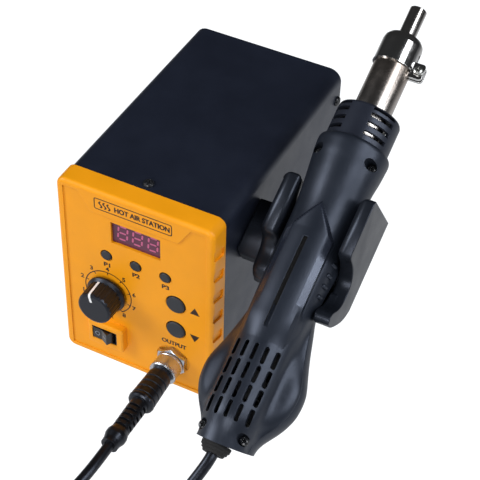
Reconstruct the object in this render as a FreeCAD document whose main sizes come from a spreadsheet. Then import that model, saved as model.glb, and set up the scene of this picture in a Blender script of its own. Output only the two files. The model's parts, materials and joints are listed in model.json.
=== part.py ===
import FreeCAD, Part
import math
import os
import Sketcher
from FreeCAD import Vector as V, Placement, Rotation

# Hot air rework station: a steel cased control unit with a moulded front
# panel, and a fan handpiece resting in a cradle on the unit's right side.
# Millimetres.  X right, Y back, Z up.  The station frame has x=0 on the unit's
# centre plane, y=0 on the front panel's face and z=0 on the bench; every node
# is then moved by (shift_x, shift_y), which centres the whole object's box.
# The handpiece frame has x across, y along the axis from the cable end to the
# nozzle and z square to both; it is tilted about x by hand_tilt.

# ======================================================================
# DRIVING DIMENSIONS
# ======================================================================
# Endings: _w width, _dp depth, _ht height, _th thickness, _d and _od diameter
SIZES = [
    ("shift_x", -35.15), ("shift_y", 0.943),
    # control unit
    ("unit_w", 100.0), ("unit_dp", 166.5), ("foot_gap", 4.0),
    ("bezel_ht", 135.3), ("bezel_dp", 14.0), ("bezel_corner", 5.5), ("bezel_edge", 2.6),
    ("bezel_wall", 2.4), ("panel_sink", 0.7), ("panel_th", 2.6),
    ("cover_top", 138.8), ("cover_bottom", 4.6), ("cover_th", 1.2), ("cover_bend", 8.0),
    ("cover_y0", 14.1), ("chassis_z", 4.8), ("chassis_th", 1.2), ("chassis_side", 48.6),
    ("chassis_flange", 14.0),
    # front panel layout
    ("display_w", 31.6), ("display_ht", 15.6), ("display_x", 0.4), ("display_z", 111.6),
    ("small_hole", 7.8), ("small_cap", 6.6), ("small_travel", 0.5), ("small_z", 92.1),
    ("small_pitch", 19.15),
    ("big_hole", 13.0), ("big_cap", 11.8), ("big_travel", 0.8), ("big_x", 25.8),
    ("big_up_z", 73.9), ("big_down_z", 53.3),
    ("knob_x", -19.0), ("knob_z", 63.0), ("knob_ht", 16.7), ("knob_skirt", 25.0),
    ("knob_cap", 21.8),
    ("switch_x", -19.85), ("switch_z", 30.175), ("switch_w", 16.5), ("switch_ht", 10.05),
    ("switch_box_out", 5.4),
    ("socket_x", 23.8), ("socket_z", 27.0), ("socket_hole", 15.3), ("socket_thread", 15.1),
    ("ring_od", 17.1), ("ring_len", 10.0), ("boot_len", 61.3), ("cable_d", 6.4),
    # inside
    ("pcb_w", 78.0), ("pcb_len", 104.0), ("pcb_z", 14.0), ("pcb_th", 1.6),
    # handpiece: the origin of its frame, its tilt, then sizes
    ("hand_x", 92.7), ("hand_y", -75.04), ("hand_z", 68.77), ("hand_tilt", 27.7),
    ("shell_th", 2.2), ("cage_od", 37.0), ("cage_start", 178.0), ("cage_end", 203.5),
    ("barrel_od", 22.0), ("barrel_th", 0.8),
    ("nozzle_od", 23.9), ("nozzle_start", 235.5), ("tip_od", 10.0), ("tip_end", 274.5),
    # cradle
    ("arm_in", 20.8), ("arm_out", 27.8), ("cradle_web", 4.0),
]
# Handpiece outer skin stations: position along the axis, core half width,
# core front, core back, flank half width, flank half depth, flank centre
SKIN_KEYS = ("pos", "corew", "front", "back", "flankw", "flankd", "flankc")
SKIN = [
    (-3.0, 14.6, 8.2, -20.5, 15.9, 11.0, -11.5),
    (3.0, 14.7, 9.0, -20.6, 16.2, 11.2, -11.5),
    (9.0, 15.2, 10.3, -20.8, 16.9, 11.8, -11.6),
    (13.0, 15.9, 11.8, -21.0, 18.8, 12.4, -11.8),
    (18.0, 16.6, 13.0, -21.0, 22.2, 13.0, -12.0),
    (23.0, 16.9, 13.2, -21.0, 25.3, 13.3, -12.0),
    (28.0, 17.0, 13.2, -21.0, 27.6, 13.5, -12.0),
    (33.0, 17.0, 13.2, -21.0, 29.0, 13.5, -12.0),
    (39.0, 17.0, 13.2, -21.0, 29.5, 13.5, -12.0),
    (45.0, 17.0, 13.2, -21.0, 28.9, 13.5, -12.0),
    (51.0, 17.0, 13.3, -21.0, 27.0, 13.4, -12.0),
    (58.0, 17.0, 13.4, -21.1, 24.6, 13.0, -11.8),
    (66.0, 17.1, 13.6, -21.3, 22.2, 12.3, -11.3),
    (75.0, 17.3, 13.8, -21.6, 19.9, 11.2, -10.5),
    (84.0, 17.6, 14.0, -21.9, 17.6, 10.0, -9.5),
    (98.0, 18.0, 14.0, -22.0, 15.0, 9.0, -8.5),
    (125.0, 18.0, 14.0, -22.0, 15.0, 9.0, -8.0),
    (140.0, 18.1, 14.8, -21.3, 15.0, 9.0, -6.0),
    (152.0, 18.7, 16.8, -20.4, 15.0, 9.0, -3.0),
    (163.0, 19.7, 18.8, -20.1, 15.0, 9.0, 0.0),
    (172.0, 20.8, 20.3, -20.8, 15.0, 9.0, 0.0),
    (178.0, 21.2, 20.9, -21.2, 15.0, 9.0, 0.0),
    (180.6, 20.9, 20.7, -20.9, 15.0, 9.0, 0.0),
    (181.6, 20.2, 20.0, -20.2, 15.0, 9.0, 0.0),
]

doc = FreeCAD.newDocument("hot_air_station")
sheet = doc.addObject("Spreadsheet::Sheet", "dim")
SKIN_ROWS = [("skin_%s_%s" % (key, chr(97 + i)), value)
             for i, line in enumerate(SKIN) for key, value in zip(SKIN_KEYS, line)]
for row, (alias, value) in enumerate(SIZES + SKIN_ROWS, 1):
    sheet.set("A%d" % row, alias)
    sheet.set("B%d" % row, repr(value))
    sheet.setAlias("B%d" % row, alias)
doc.recompute()


class dim:
    """The sheet's values by alias, spelt as in the expressions."""


for alias, _ in SIZES + SKIN_ROWS:
    setattr(dim, alias, float(getattr(sheet, alias)))

NODES = []          # the objects written out, one file each
ORIGIN = V(0, 0, 0)
X, Y, Z = V(1, 0, 0), V(0, 1, 0), V(0, 0, 1)
FORWARD, DOWN = V(0, -1, 0), V(0, 0, -1)
TURN = {"z": Rotation(), "y": Rotation(X, -90), "-y": Rotation(X, 90)}


# ---- document objects: a string is an expression on the sheet -----------
def bind(obj, prop, value):
    if isinstance(value, str):
        obj.setExpression(prop, value)
    else:
        setattr(obj, prop, float(value))


def primitive(kind, name, base, axis, **sizes):
    obj = doc.addObject(kind, name)
    for prop, value in sizes.items():
        bind(obj, prop, value)
    fixed = [0.0 if isinstance(value, str) else value for value in base]
    obj.Placement = Placement(V(*fixed), TURN[axis])
    for letter, value in zip("xyz", base):
        if isinstance(value, str):
            obj.setExpression("Placement.Base." + letter, value)
    return obj


def box(name, corner, size):
    return primitive("Part::Box", name, corner, "z",
                     Length=size[0], Width=size[1], Height=size[2])


def cyl(name, base, radius, length, axis="z"):
    return primitive("Part::Cylinder", name, base, axis, Radius=radius, Height=length)


def hexa(name, base, radius, length, axis="z"):
    obj = primitive("Part::Prism", name, base, axis, Circumradius=radius, Height=length)
    obj.Polygon = 6
    return obj


def fuse(name, parts):
    obj = doc.addObject("Part::MultiFuse", name)
    obj.Shapes = parts
    return obj


def cut(name, base, tools):
    obj = doc.addObject("Part::Cut", name)
    obj.Base = base
    obj.Tool = tools[0] if len(tools) == 1 else fuse(name + "_tools", tools)
    return obj


def group(name, parts):
    obj = doc.addObject("Part::Compound", name)
    obj.Links = parts
    return obj


def raw(name, shape):
    obj = doc.addObject("Part::Feature", name)
    obj.Shape = shape
    return obj


def bundle(name, shapes):
    """A compound of plain shapes."""
    return group(name + "_group", [raw("%s_%d" % (name, i), s) for i, s in enumerate(shapes)])


def fillet(name, base, radius, pick):
    """Part::Fillet on the edges of base that pick(edge) accepts."""
    doc.recompute()
    obj = doc.addObject("Part::Fillet", name)
    obj.Base = base
    obj.Edges = [(i + 1, radius, radius) for i, e in enumerate(base.Shape.Edges) if pick(e)]
    return obj


def node(obj, label, base, rotation=Rotation()):
    """Label and place a finished piece; base holds an expression or None per axis."""
    doc.recompute()
    if not obj.Placement.isIdentity():
        # the piece keeps its own place inside a group, which takes the node's
        obj = group(obj.Name + "_node", [obj])
    obj.Label = label
    obj.Placement = Placement(ORIGIN, rotation)
    for letter, expression in zip("xyz", base):
        if expression:
            obj.setExpression("Placement.Base." + letter, expression)
    NODES.append(obj)


def station(obj, label):
    """A piece drawn in the station frame."""
    node(obj, label, ("dim.shift_x", "dim.shift_y", None))


def hand(obj, label):
    """A piece drawn in the handpiece frame."""
    node(obj, label, ("dim.hand_x + dim.shift_x", "dim.hand_y + dim.shift_y", "dim.hand_z"),
         Rotation(X, dim.hand_tilt))


# ---- PartDesign features -------------------------------------------------
def new_body(name):
    return doc.addObject("PartDesign::Body", name)


def sketch_on(body, name, role, offset=0.0):
    """Sketch on an origin plane.  Normals: XY_Plane +z, XZ_Plane -y, YZ_Plane +x."""
    plane = next(f for f in body.Origin.OriginFeatures if f.Role == role)
    sketch = body.newObject("Sketcher::SketchObject", name)
    sketch.AttachmentSupport = [(plane, "")]
    sketch.MapMode = "FlatFace"
    sketch.AttachmentOffset = Placement(V(0, 0, offset), Rotation())
    return sketch


def pin_point(sketch, geometry, point, x, y):
    """Dimension a point of the geometry from the sketch's origin."""
    sketch.addConstraint(Sketcher.Constraint("DistanceX", -1, 1, geometry, point, float(x)))
    sketch.addConstraint(Sketcher.Constraint("DistanceY", -1, 1, geometry, point, float(y)))


def circle(sketch, x, y, radius):
    n = sketch.addGeometry(Part.Circle(V(x, y, 0), Z, radius), False)
    sketch.addConstraint(Sketcher.Constraint("Radius", n, radius))
    pin_point(sketch, n, 3, x, y)


def poly(sketch, points):
    """A closed polyline, every corner dimensioned from the origin."""
    n = sketch.GeometryCount
    count = len(points)
    for i in range(count):
        a, b = points[i], points[(i + 1) % count]
        sketch.addGeometry(Part.LineSegment(V(a[0], a[1], 0), V(b[0], b[1], 0)), False)
    for i in range(count):
        sketch.addConstraint(
            Sketcher.Constraint("Coincident", n + i, 2, n + (i + 1) % count, 1))
    for i, (x, y) in enumerate(points):
        pin_point(sketch, n + i, 1, x, y)


def rect(sketch, x0, y0, x1, y1):
    poly(sketch, [(x0, y0), (x1, y0), (x1, y1), (x0, y1)])


def feature(kind, body, sketch, length, reverse, name):
    obj = body.newObject("PartDesign::" + kind, name)
    obj.Profile = sketch
    bind(obj, "Length", length)
    obj.Reversed = reverse
    return obj


def pad(body, sketch, length, reverse=False):
    return feature("Pad", body, sketch, length, reverse, "Pad")


def pocket(body, sketch, length, name, reverse=False, midplane=False):
    obj = feature("Pocket", body, sketch, length, reverse, name)
    if midplane:
        obj.Midplane = True
    return obj


def revolve(body, sketch):
    """Full turn about the sketch's vertical axis."""
    obj = body.newObject("PartDesign::Revolution", "Revolution")
    obj.Profile = sketch
    obj.ReferenceAxis = (sketch, ["V_Axis"])
    obj.Angle = 360.0


def polar(body, original, sketch, count, name):
    """Repeat a feature round the normal of its sketch."""
    doc.recompute()
    obj = body.newObject("PartDesign::PolarPattern", name)
    obj.Originals = [original]
    obj.Axis = (sketch, ["N_Axis"])
    obj.Angle = 360
    obj.Occurrences = count
    body.Tip = obj
    doc.recompute()


# ---- plain shapes -----------------------------------------------------------
def block(corner, size):
    return Part.makeBox(*size, V(*corner))


def rod(base, radius, length, axis=Y):
    return Part.makeCylinder(radius, length, V(*base), axis)


def face(points):
    return Part.Face(Part.makePolygon(points + points[:1]))


def around(radius, count, first=0.0):
    """Points evenly spaced on a circle, first one at the given angle."""
    angles = [math.radians(first + 360.0 / count * k) for k in range(count)]
    return [(radius * math.cos(a), radius * math.sin(a)) for a in angles]


def lathe(points, origin, direction):
    """Solid of revolution: points are (distance along direction, radius)."""
    axis = V(direction)
    axis.normalize()
    side = V(1, 0, 0) if abs(axis.x) < 0.9 else V(0, 0, 1)
    side = side - axis * side.dot(axis)
    side.normalize()
    start = V(*origin)
    return face([start + axis * t + side * r for t, r in points]).revolve(start, axis, 360)


def straight(edge, letter):
    """Is the edge a straight line along the axis x, y or z?"""
    if not isinstance(edge.Curve, Part.Line):
        return False
    span = edge.Vertexes[-1].Point - edge.Vertexes[0].Point
    return abs(abs(getattr(span, letter)) - span.Length) < 1e-6


def at_y(edge, y):
    return all(abs(v.Point.y - y) < 1e-6 for v in edge.Vertexes)


def round_all(shape, radius, pick):
    # guards against a fillet the kernel refuses: the sharp shape is kept
    try:
        rounded = shape.makeFillet(radius, [e for e in shape.Edges if pick(e)])
        if rounded.isValid() and rounded.Volume > 0.2 * shape.Volume:
            return rounded
    except Exception:
        pass
    return shape


def tidy(shape):
    """Merge faces that lie on one surface."""
    # guards against a merge that fails: the unmerged shape is kept
    try:
        merged = shape.removeSplitter()
        if merged.isValid() and abs(merged.Volume - shape.Volume) < 1e-3 * abs(shape.Volume):
            return merged
    except Exception:
        pass
    return shape


def pan_screw(origin, direction, head_radius, head_ht, shank_radius, length):
    """Cross slotted pan head screw; origin is under the head, direction into the work."""
    axis = V(direction)
    axis.normalize()
    screw = lathe([(-head_ht, 0), (-head_ht, head_radius * 0.55),
                   (-head_ht * 0.8, head_radius * 0.85), (-head_ht * 0.35, head_radius),
                   (0, head_radius), (0, shank_radius), (length, shank_radius), (length, 0)],
                  origin, axis)
    side = V(1, 0, 0) if abs(axis.x) < 0.9 else V(0, 0, 1)
    other = axis.cross(side)
    centre = V(*origin) - axis * (head_ht + 0.01)
    half_w, half_len = head_radius * 0.11, head_radius * 0.56
    slots = []
    for u, v in ((side, other), (other, side)):
        corners = [centre + u * half_len + v * half_w, centre - u * half_len + v * half_w,
                   centre - u * half_len - v * half_w, centre + u * half_len - v * half_w]
        slots.append(face(corners).extrude(axis * (head_ht * 0.62)))
    return screw.cut(slots[0].fuse(slots[1]))


# ======================================================================
# SHARED PLACES
# ======================================================================
FOOT = dim.foot_gap                        # underside of the bezel
HALF_W = dim.unit_w / 2
PANEL_Y = dim.panel_sink                   # front panel's recessed face
PANEL_BACK = PANEL_Y + dim.panel_th        # its back face
BOARD_Y = 10.6                             # front face of the control board
PCB_TOP = dim.pcb_z + dim.pcb_th + 0.02    # just clear of the power board
BEZEL_SCREWS = [(x, FOOT + up) for up in (8, 126) for x in (-43.0, 43.0)]      # x, z
PANEL_POSTS = [(-38.0, 122.0), (38.0, 122.0), (-38.0, 44.0), (39.5, 44.0)]     # x, z
FEET = [(x, y) for y in (30.0, 150.0) for x in (-38.0, 38.0)]                  # x, y
STANDOFFS = [(x, y) for y in (42.0, 136.0) for x in (-34.0, 34.0)]             # x, y
TOP_SCREW = (-1.4, 19.7)                                                       # x, y
SIDE_SCREW_Y, SIDE_SCREW_Z = 161.4, (119.5, 40.0)
INLET_X, INLET_Z = -19.0, 42.0
INLET_Y = dim.unit_dp - 0.7 + 0.02         # inner face of the inlet's flange
INLET_SCREW = 18.0                         # screws this far each side of the inlet
COVER_SCREW_HOLE = 1.7

TILT = math.radians(dim.hand_tilt)
CRADLE_SCREWS = [(114.0, -19.5), (135.0, -19.5)]    # y, z in the handpiece frame


def tilted(y, z):
    """Station frame y and z of a point in the handpiece frame."""
    return (dim.hand_y + y * math.cos(TILT) - z * math.sin(TILT),
            dim.hand_z + y * math.sin(TILT) + z * math.cos(TILT))


SMALL_X = [(i - 1) * dim.small_pitch for i in range(3)]
SMALL = (dim.small_cap / 2, 4.9, 0.9, dim.small_travel)
BIG = (dim.big_cap / 2, 7.4, 1.1, dim.big_travel)
# label, x, z, (cap radius, flange radius, height proud of the panel, travel)
BUTTONS = [("preset_button_%d" % (i + 1), x, dim.small_z, SMALL) for i, x in enumerate(SMALL_X)]
BUTTONS += [("up_button", dim.big_x, dim.big_up_z, BIG),
            ("down_button", dim.big_x, dim.big_down_z, BIG)]


# ======================================================================
# CASING
# ======================================================================
def bezel_openings():
    holes = [box("display_hole",
                 ("dim.display_x - dim.display_w / 2", -1, "dim.display_z - dim.display_ht / 2"),
                 ("dim.display_w", 8, "dim.display_ht"))]
    for i, x in enumerate(SMALL_X):
        holes.append(cyl("preset_hole_%d" % i, (x, -2, "dim.small_z"),
                         "dim.small_hole / 2", 7, "y"))
    for name in ("up", "down"):
        holes.append(cyl(name + "_hole", ("dim.big_x", -2, "dim.big_%s_z" % name),
                         "dim.big_hole / 2", 7, "y"))
    holes += [
        cyl("pot_hole", ("dim.knob_x", -2, "dim.knob_z"), 3.6, 7, "y"),
        box("switch_hole", ("dim.switch_x - dim.switch_w / 2 - 0.1", -8,
                            "dim.switch_z - dim.switch_ht / 2 - 0.1"),
            ("dim.switch_w + 0.2", 22, "dim.switch_ht + 0.2")),
        cyl("socket_hole", ("dim.socket_x", -2, "dim.socket_z"), "dim.socket_hole / 2", 8, "y"),
        cyl("socket_sink", ("dim.socket_x", -2, "dim.socket_z"), 10.7, 3.6, "y"),
    ]
    for name, y, places in (("boss", 6.0, BEZEL_SCREWS), ("post", 4.5, PANEL_POSTS)):
        for i, (x, z) in enumerate(places):
            holes.append(cyl("%s_pilot_%d" % (name, i), (x, y, z), 1.25, 10, "y"))
    return holes


def front_bezel():
    """Moulded surround and sunk panel in one piece, open at the back."""
    outer = box("bezel_block", ("-dim.unit_w / 2", 0, "dim.foot_gap"),
                ("dim.unit_w", "dim.bezel_dp", "dim.bezel_ht"))
    outer = fillet("bezel_corners", outer, dim.bezel_corner, lambda e: straight(e, "y"))
    outer = fillet("bezel_front_edge", outer, dim.bezel_edge, lambda e: at_y(e, 0.0))
    hollow = box("bezel_hollow", ("-dim.unit_w / 2 + dim.bezel_wall",
                                  "dim.panel_sink + dim.panel_th",
                                  "dim.foot_gap + dim.bezel_wall"),
                 ("dim.unit_w - 2 * dim.bezel_wall", "dim.bezel_dp",
                  "dim.bezel_ht - 2 * dim.bezel_wall"))
    hollow = fillet("bezel_hollow_corners", hollow, 3.5, lambda e: straight(e, "y"))
    # the sunk area stops short of a raised header with slanted ends; x, height over FOOT
    sunk = [(-45.4, 4.2), (45.4, 4.2), (45.4, 131), (35.5, 131), (28, 118.7),
            (-28, 118.7), (-35.5, 131), (-45.4, 131)]
    recess = raw("panel_recess", face([V(x, -1, FOOT + up) for x, up in sunk])
                 .extrude(V(0, 1 + PANEL_Y, 0)))
    shell = cut("bezel_shell", outer, [hollow, recess])

    # column of seven slanted grip pockets in each side wall
    pocket_dp, pocket_pitch = 1.3, 16.1
    pockets = []
    for side in (-1, 1):
        for k in range(7):
            z = FOOT + 20.6 + pocket_pitch * k
            outline = [(1.3, z + 4.1), (12.3, z - 0.4), (12.3, z - 7.2), (1.3, z - 3.6)]
            slab = face([V(side * (HALF_W - pocket_dp), y, up) for y, up in outline]).extrude(
                V(side * 4, 0, 0))
            pockets.append(slab.makeFillet(1.3, [e for e in slab.Edges if straight(e, "x")]))
    doc.recompute()
    shell = raw("bezel_shell_pocketed", shell.Shape.cut(Part.makeCompound(pockets)))

    # raised box round the power switch, a collar behind it, bosses and posts
    rim_y = PANEL_Y - dim.switch_box_out
    rim = raw("switch_surround", round_all(
        block((-31.3, rim_y, FOOT + 16.6), (23.9, dim.switch_box_out + 0.6, 18.1)), 1.4,
        lambda e: straight(e, "y") or at_y(e, rim_y)))
    collar = box("switch_collar", (-29.9, "dim.panel_sink + dim.panel_th - 0.6", FOOT + 17.4),
                 (20.1, 5.0, 17.6))
    pillars = []
    for name, places, radius, length in (("bezel_boss", BEZEL_SCREWS, 3.6, 10.4),
                                         ("panel_post", PANEL_POSTS, 2.6, 7.2)):
        for i, (x, z) in enumerate(places):
            pillars.append(cyl("%s_%d" % (name, i),
                               (x, "dim.panel_sink + dim.panel_th - 0.5", z),
                               radius, length, "y"))
    total = fuse("bezel_sum", [shell, rim, collar] + pillars)
    station(cut("front_bezel_part", total, bezel_openings()), "front_bezel")


def cover_profile(sketch):
    """Upside down U with bent corners, every element blocked in place."""
    half, low, top = HALF_W, dim.cover_bottom, dim.cover_top
    inner, under = half - dim.cover_th, top - dim.cover_th
    bend = dim.cover_bend
    bend_x, bend_z = half - bend, top - bend

    def line(x0, z0, x1, z1):
        return Part.LineSegment(V(x0, z0, 0), V(x1, z1, 0))

    def arc(x, radius, first, last):
        return Part.ArcOfCircle(Part.Circle(V(x, bend_z, 0), Z, radius),
                                math.radians(first), math.radians(last))

    for element in (
            line(-half, low, -half, bend_z), arc(-bend_x, bend, 90, 180),
            line(-bend_x, top, bend_x, top), arc(bend_x, bend, 0, 90),
            line(half, bend_z, half, low), line(half, low, inner, low),
            line(inner, low, inner, bend_z), arc(bend_x, bend - dim.cover_th, 0, 90),
            line(bend_x, under, -bend_x, under), arc(-bend_x, bend - dim.cover_th, 90, 180),
            line(-inner, bend_z, -inner, low), line(-inner, low, -half, low)):
        n = sketch.addGeometry(element, False)
        sketch.addConstraint(Sketcher.Constraint("Block", n))


def top_cover():
    """Folded sheet steel with its screw holes."""
    body = new_body("top_cover_body")
    profile = sketch_on(body, "cover_profile", "XZ_Plane", -dim.cover_y0)
    cover_profile(profile)
    pad(body, profile, "dim.unit_dp - dim.cover_y0 - 0.2", True)
    top = sketch_on(body, "cover_top_hole", "XY_Plane", 120.0)
    circle(top, *TOP_SCREW, COVER_SCREW_HOLE)
    pocket(body, top, 30.0, "TopHole", reverse=True)
    sides = sketch_on(body, "cover_side_holes", "YZ_Plane")
    for z in SIDE_SCREW_Z:
        circle(sides, SIDE_SCREW_Y, z, COVER_SCREW_HOLE)
    pocket(body, sides, 160.0, "SideHoles", midplane=True)
    # the cradle's screws pass the right wall only
    cradle = sketch_on(body, "cradle_holes", "YZ_Plane")
    for y, z in CRADLE_SCREWS:
        circle(cradle, *tilted(y, z), 1.75)
    body.Tip = pocket(body, cradle, 70.0, "CradleHoles", reverse=True)
    station(body, "top_cover")


def base_chassis():
    """Folded steel floor with side flanges and a tall front plate."""
    start_y, length = "dim.cover_y0 + 0.2", "dim.unit_dp - dim.cover_y0 - 2.6"
    corner = ("-dim.chassis_side", start_y, "dim.chassis_z")
    parts = [
        box("floor", corner, ("2 * dim.chassis_side", length, "dim.chassis_th")),
        box("side_flange_l", corner, ("dim.chassis_th", length, "dim.chassis_flange")),
        box("side_flange_r", ("dim.chassis_side - dim.chassis_th", start_y, "dim.chassis_z"),
            ("dim.chassis_th", length, "dim.chassis_flange")),
        box("front_plate", corner, ("2 * dim.chassis_side", "dim.chassis_th", 132.0)),
    ]
    holes = [box("front_window", (-36, 10, 22), (72, 10, 102))]
    for i, (x, z) in enumerate(BEZEL_SCREWS):
        holes.append(cyl("front_screw_hole_%d" % i, (x, 10, z), 1.7, 10, "y"))
    for i, (x, y) in enumerate(FEET):
        holes.append(cyl("foot_hole_%d" % i, (x, y, 0), 2.1, 10))
    for i in range(6):
        holes.append(box("floor_vent_%d" % i, (-22, 60 + 12 * i, 0), (44, 3, 10)))
    for i, (x, y) in enumerate(STANDOFFS):
        holes.append(cyl("standoff_hole_%d" % i, (x, y, 0), 1.7, 12))
    # corners of the front plate stay clear of the cover's bends
    for i, x in enumerate((-52.5, 42.5)):
        holes.append(box("corner_relief_%d" % i, (x, 10, 131.2), (10, 10, 10.1)))
    station(cut("base_chassis_part", fuse("chassis_sum", parts), holes), "base_chassis")


def rear_panel():
    """Steel plate with the mains inlet opening, vents and screw holes."""
    body = new_body("rear_panel_body")
    outline = sketch_on(body, "rear_outline", "XZ_Plane", -(dim.unit_dp - 2.2))
    poly(outline, [(-48.6, 4.8), (48.6, 4.8), (48.6, 130.0), (41.6, 137.2),
                   (-41.6, 137.2), (-48.6, 130.0)])
    pad(body, outline, 1.5, True)
    holes = sketch_on(body, "rear_openings", "XZ_Plane", -(dim.unit_dp + 5))
    rect(holes, INLET_X - 14.1, INLET_Z - 16.2, INLET_X + 14.1, INLET_Z + 16.2)
    vent_pitch, vent_ht = 9.0, 3.0
    for x, z0, count in ((8.0, 60.0, 7), (-36.0, 87.0, 4)):
        for k in range(count):
            z = z0 + vent_pitch * k
            rect(holes, x, z, x + 30.0, z + vent_ht)
    for x, z in ((INLET_X - INLET_SCREW, INLET_Z), (INLET_X + INLET_SCREW, INLET_Z),
                 (-43.0, 10.0), (43.0, 10.0)):
        circle(holes, x, z, 1.65)
    body.Tip = pocket(body, holes, 20.0, "Openings", midplane=True)
    station(body, "rear_panel")


def rubber_feet():
    """Flanged pads with a snap stem through the floor."""
    profile = [(0, 0), (0, 5.6), (0.8, 6.3), (4.7, 6.8), (4.79, 6.8), (4.79, 2.0),
               (6.05, 2.0), (6.05, 2.9), (7.2, 2.2), (7.2, 0)]
    station(bundle("foot", [lathe(profile, (x, y, 0), Z) for x, y in FEET]), "rubber_feet")


def cover_fixings():
    """Cover screws, and the round nuts behind every hole of the cover."""
    fixings = [(TOP_SCREW + (dim.cover_top,), DOWN)]
    for side in (-1, 1):
        for z in SIDE_SCREW_Z:
            fixings.append(((side * HALF_W, SIDE_SCREW_Y, z), V(-side, 0, 0)))
    station(bundle("cover_screw", [pan_screw(place, way, 3.2, 1.9, 1.45, 6.0)
                                   for place, way in fixings]), "cover_screws")
    for y, z in CRADLE_SCREWS:
        fixings.append(((HALF_W,) + tilted(y, z), V(-1, 0, 0)))
    nut = [(0.0, 1.52), (0.0, 2.6), (2.4, 2.6), (2.4, 1.52)]
    station(bundle("clip_nut", [lathe(nut, V(*place) + way * dim.cover_th, way)
                                for place, way in fixings]), "clip_nuts")


# ======================================================================
# CONTROLS
# ======================================================================
def display():
    """Tinted filter behind the panel opening, the display block and its board."""
    left = "dim.display_x - dim.display_w / 2 "
    low = "dim.display_z - dim.display_ht / 2 "
    station(fuse("window_sum", [
        box("window_pane", (left + "+ 0.15", "dim.panel_sink + 1.6", low + "+ 0.15"),
            ("dim.display_w - 0.3", 1.5, "dim.display_ht - 0.3")),
        box("window_flange",
            (left + "- 1.2", "dim.panel_sink + dim.panel_th + 0.02", low + "- 1.2"),
            ("dim.display_w + 2.4", 0.8, "dim.display_ht + 2.4"))]), "display_window")
    station(box("display_block", ("dim.display_x - 15", PANEL_BACK + 1.2, "dim.display_z - 7"),
                (30, BOARD_Y - PANEL_BACK - 1.22, 14)), "led_display")
    board = box("control_board", (-41.5, BOARD_Y, 40.0), (84.0, 1.6, 86.0))
    holes = [cyl("board_hole_%d" % i, (x, 5, z), 1.3, 10, "y")
             for i, (x, z) in enumerate(PANEL_POSTS)]
    holes.append(cyl("board_pot_hole", ("dim.knob_x", 5, "dim.knob_z"), 9.2, 10, "y"))
    station(cut("control_board_part", board, holes), "display_pcb")


def push_button(label, x, z, cap_radius, flange_radius, proud, travel):
    """Cap, flange behind the panel and stem."""
    front_y = PANEL_Y - proud
    flange = proud + dim.panel_th + 0.05
    flange_end = proud + dim.panel_th + 1.15
    stem_end = BOARD_Y - 1.9 - front_y - travel
    shape = lathe([(0, 0), (0, cap_radius - 0.9), (0.25, cap_radius - 0.3), (0.7, cap_radius),
                   (flange, cap_radius), (flange, flange_radius), (flange_end, flange_radius),
                   (flange_end, 1.6), (stem_end, 1.6), (stem_end, 0)], (x, front_y, z), Y)
    station(raw(label + "_shape", shape), label)


def buttons():
    tacts = []
    for label, x, z, sizes in BUTTONS:
        push_button(label, x, z, *sizes)
        case = block((x - 3, BOARD_Y - 3.5, z - 3), (6, 3.5, 6))
        tacts.append(case.cut(rod((x, BOARD_Y - 3.6, z), 1.7, 2.9)))
    station(bundle("tact", tacts), "tact_switches")


def potentiometer():
    """Can and bushing in one, its nut and its shaft."""
    profile = [(0, 3.05), (0, 3.5), (7.4, 3.5), (7.4, 8.3), (15.4, 8.3), (15.4, 3.05)]
    station(raw("pot_shape", lathe(profile, (dim.knob_x, -3.6, dim.knob_z), Y)),
            "potentiometer")
    nut = hexa("pot_nut_hex", ("dim.knob_x", "dim.panel_sink", "dim.knob_z"), 5.7, 2.2, "-y")
    bore = cyl("pot_nut_bore", ("dim.knob_x", 1, "dim.knob_z"), 3.52, 5, "-y")
    station(cut("pot_nut_part", nut, [bore]), "pot_nut")
    station(cyl("pot_shaft_part", ("dim.knob_x", 11.4, "dim.knob_z"), 3.0, 25.4, "-y"),
            "pot_shaft")


def airflow_knob():
    """Hollow skirted knob with shallow flutes round its side."""
    cap, skirt, top = dim.knob_cap / 2, dim.knob_skirt / 2, dim.knob_ht
    body = new_body("airflow_knob_body")
    profile = sketch_on(body, "knob_profile", "XY_Plane")
    # distance forward from the panel, radius
    outline = [(1.8, 8.2), (1.8, skirt - 0.3), (2.1, skirt), (3.4, skirt), (4.8, cap + 0.25),
               (top - 1.6, cap), (top - 0.5, cap - 0.45), (top, cap - 1.5), (top, 0),
               (top - 2.0, 0), (top - 2.0, 3.02), (5.2, 3.02), (5.2, 8.2)]
    poly(profile, [(radius, -out) for out, radius in outline])
    revolve(body, profile)
    flute = sketch_on(body, "knob_flute", "XZ_Plane", 4.9)
    circle(flute, cap + 1.15, 0.0, 1.45)
    polar(body, pocket(body, flute, 11.0, "Flute", reverse=True), flute, 22, "Flutes")
    node(body, "airflow_knob", ("dim.knob_x + dim.shift_x", "dim.panel_sink + dim.shift_y",
                                "dim.knob_z"))


def knob_pointer():
    """Thin insert that follows the knob's side and runs on to its cap."""
    cap, top = dim.knob_cap / 2, dim.knob_ht
    inner = lathe([(0, 0), (4.9, cap + 0.27), (top - 1.6, cap + 0.02), (top - 0.5, cap - 0.43),
                   (top + 0.02, cap - 1.5), (top + 0.02, 0)], ORIGIN, FORWARD)
    outer = lathe([(5.0, 0.0), (5.0, cap + 0.42), (top - 1.6, cap + 0.20),
                   (top - 0.4, cap - 0.28), (top + 0.2, cap - 1.45), (top + 0.2, 0)],
                  ORIGIN, FORWARD)
    slab = block((cap - 5.6, -22, -0.75), (14, 24, 1.5))
    slab.rotate(ORIGIN, Y, -105.0)
    pointer = outer.cut(inner).common(slab)
    pointer.translate(V(dim.knob_x, PANEL_Y, dim.knob_z))
    station(raw("knob_pointer_shape", pointer), "knob_pointer")


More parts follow.
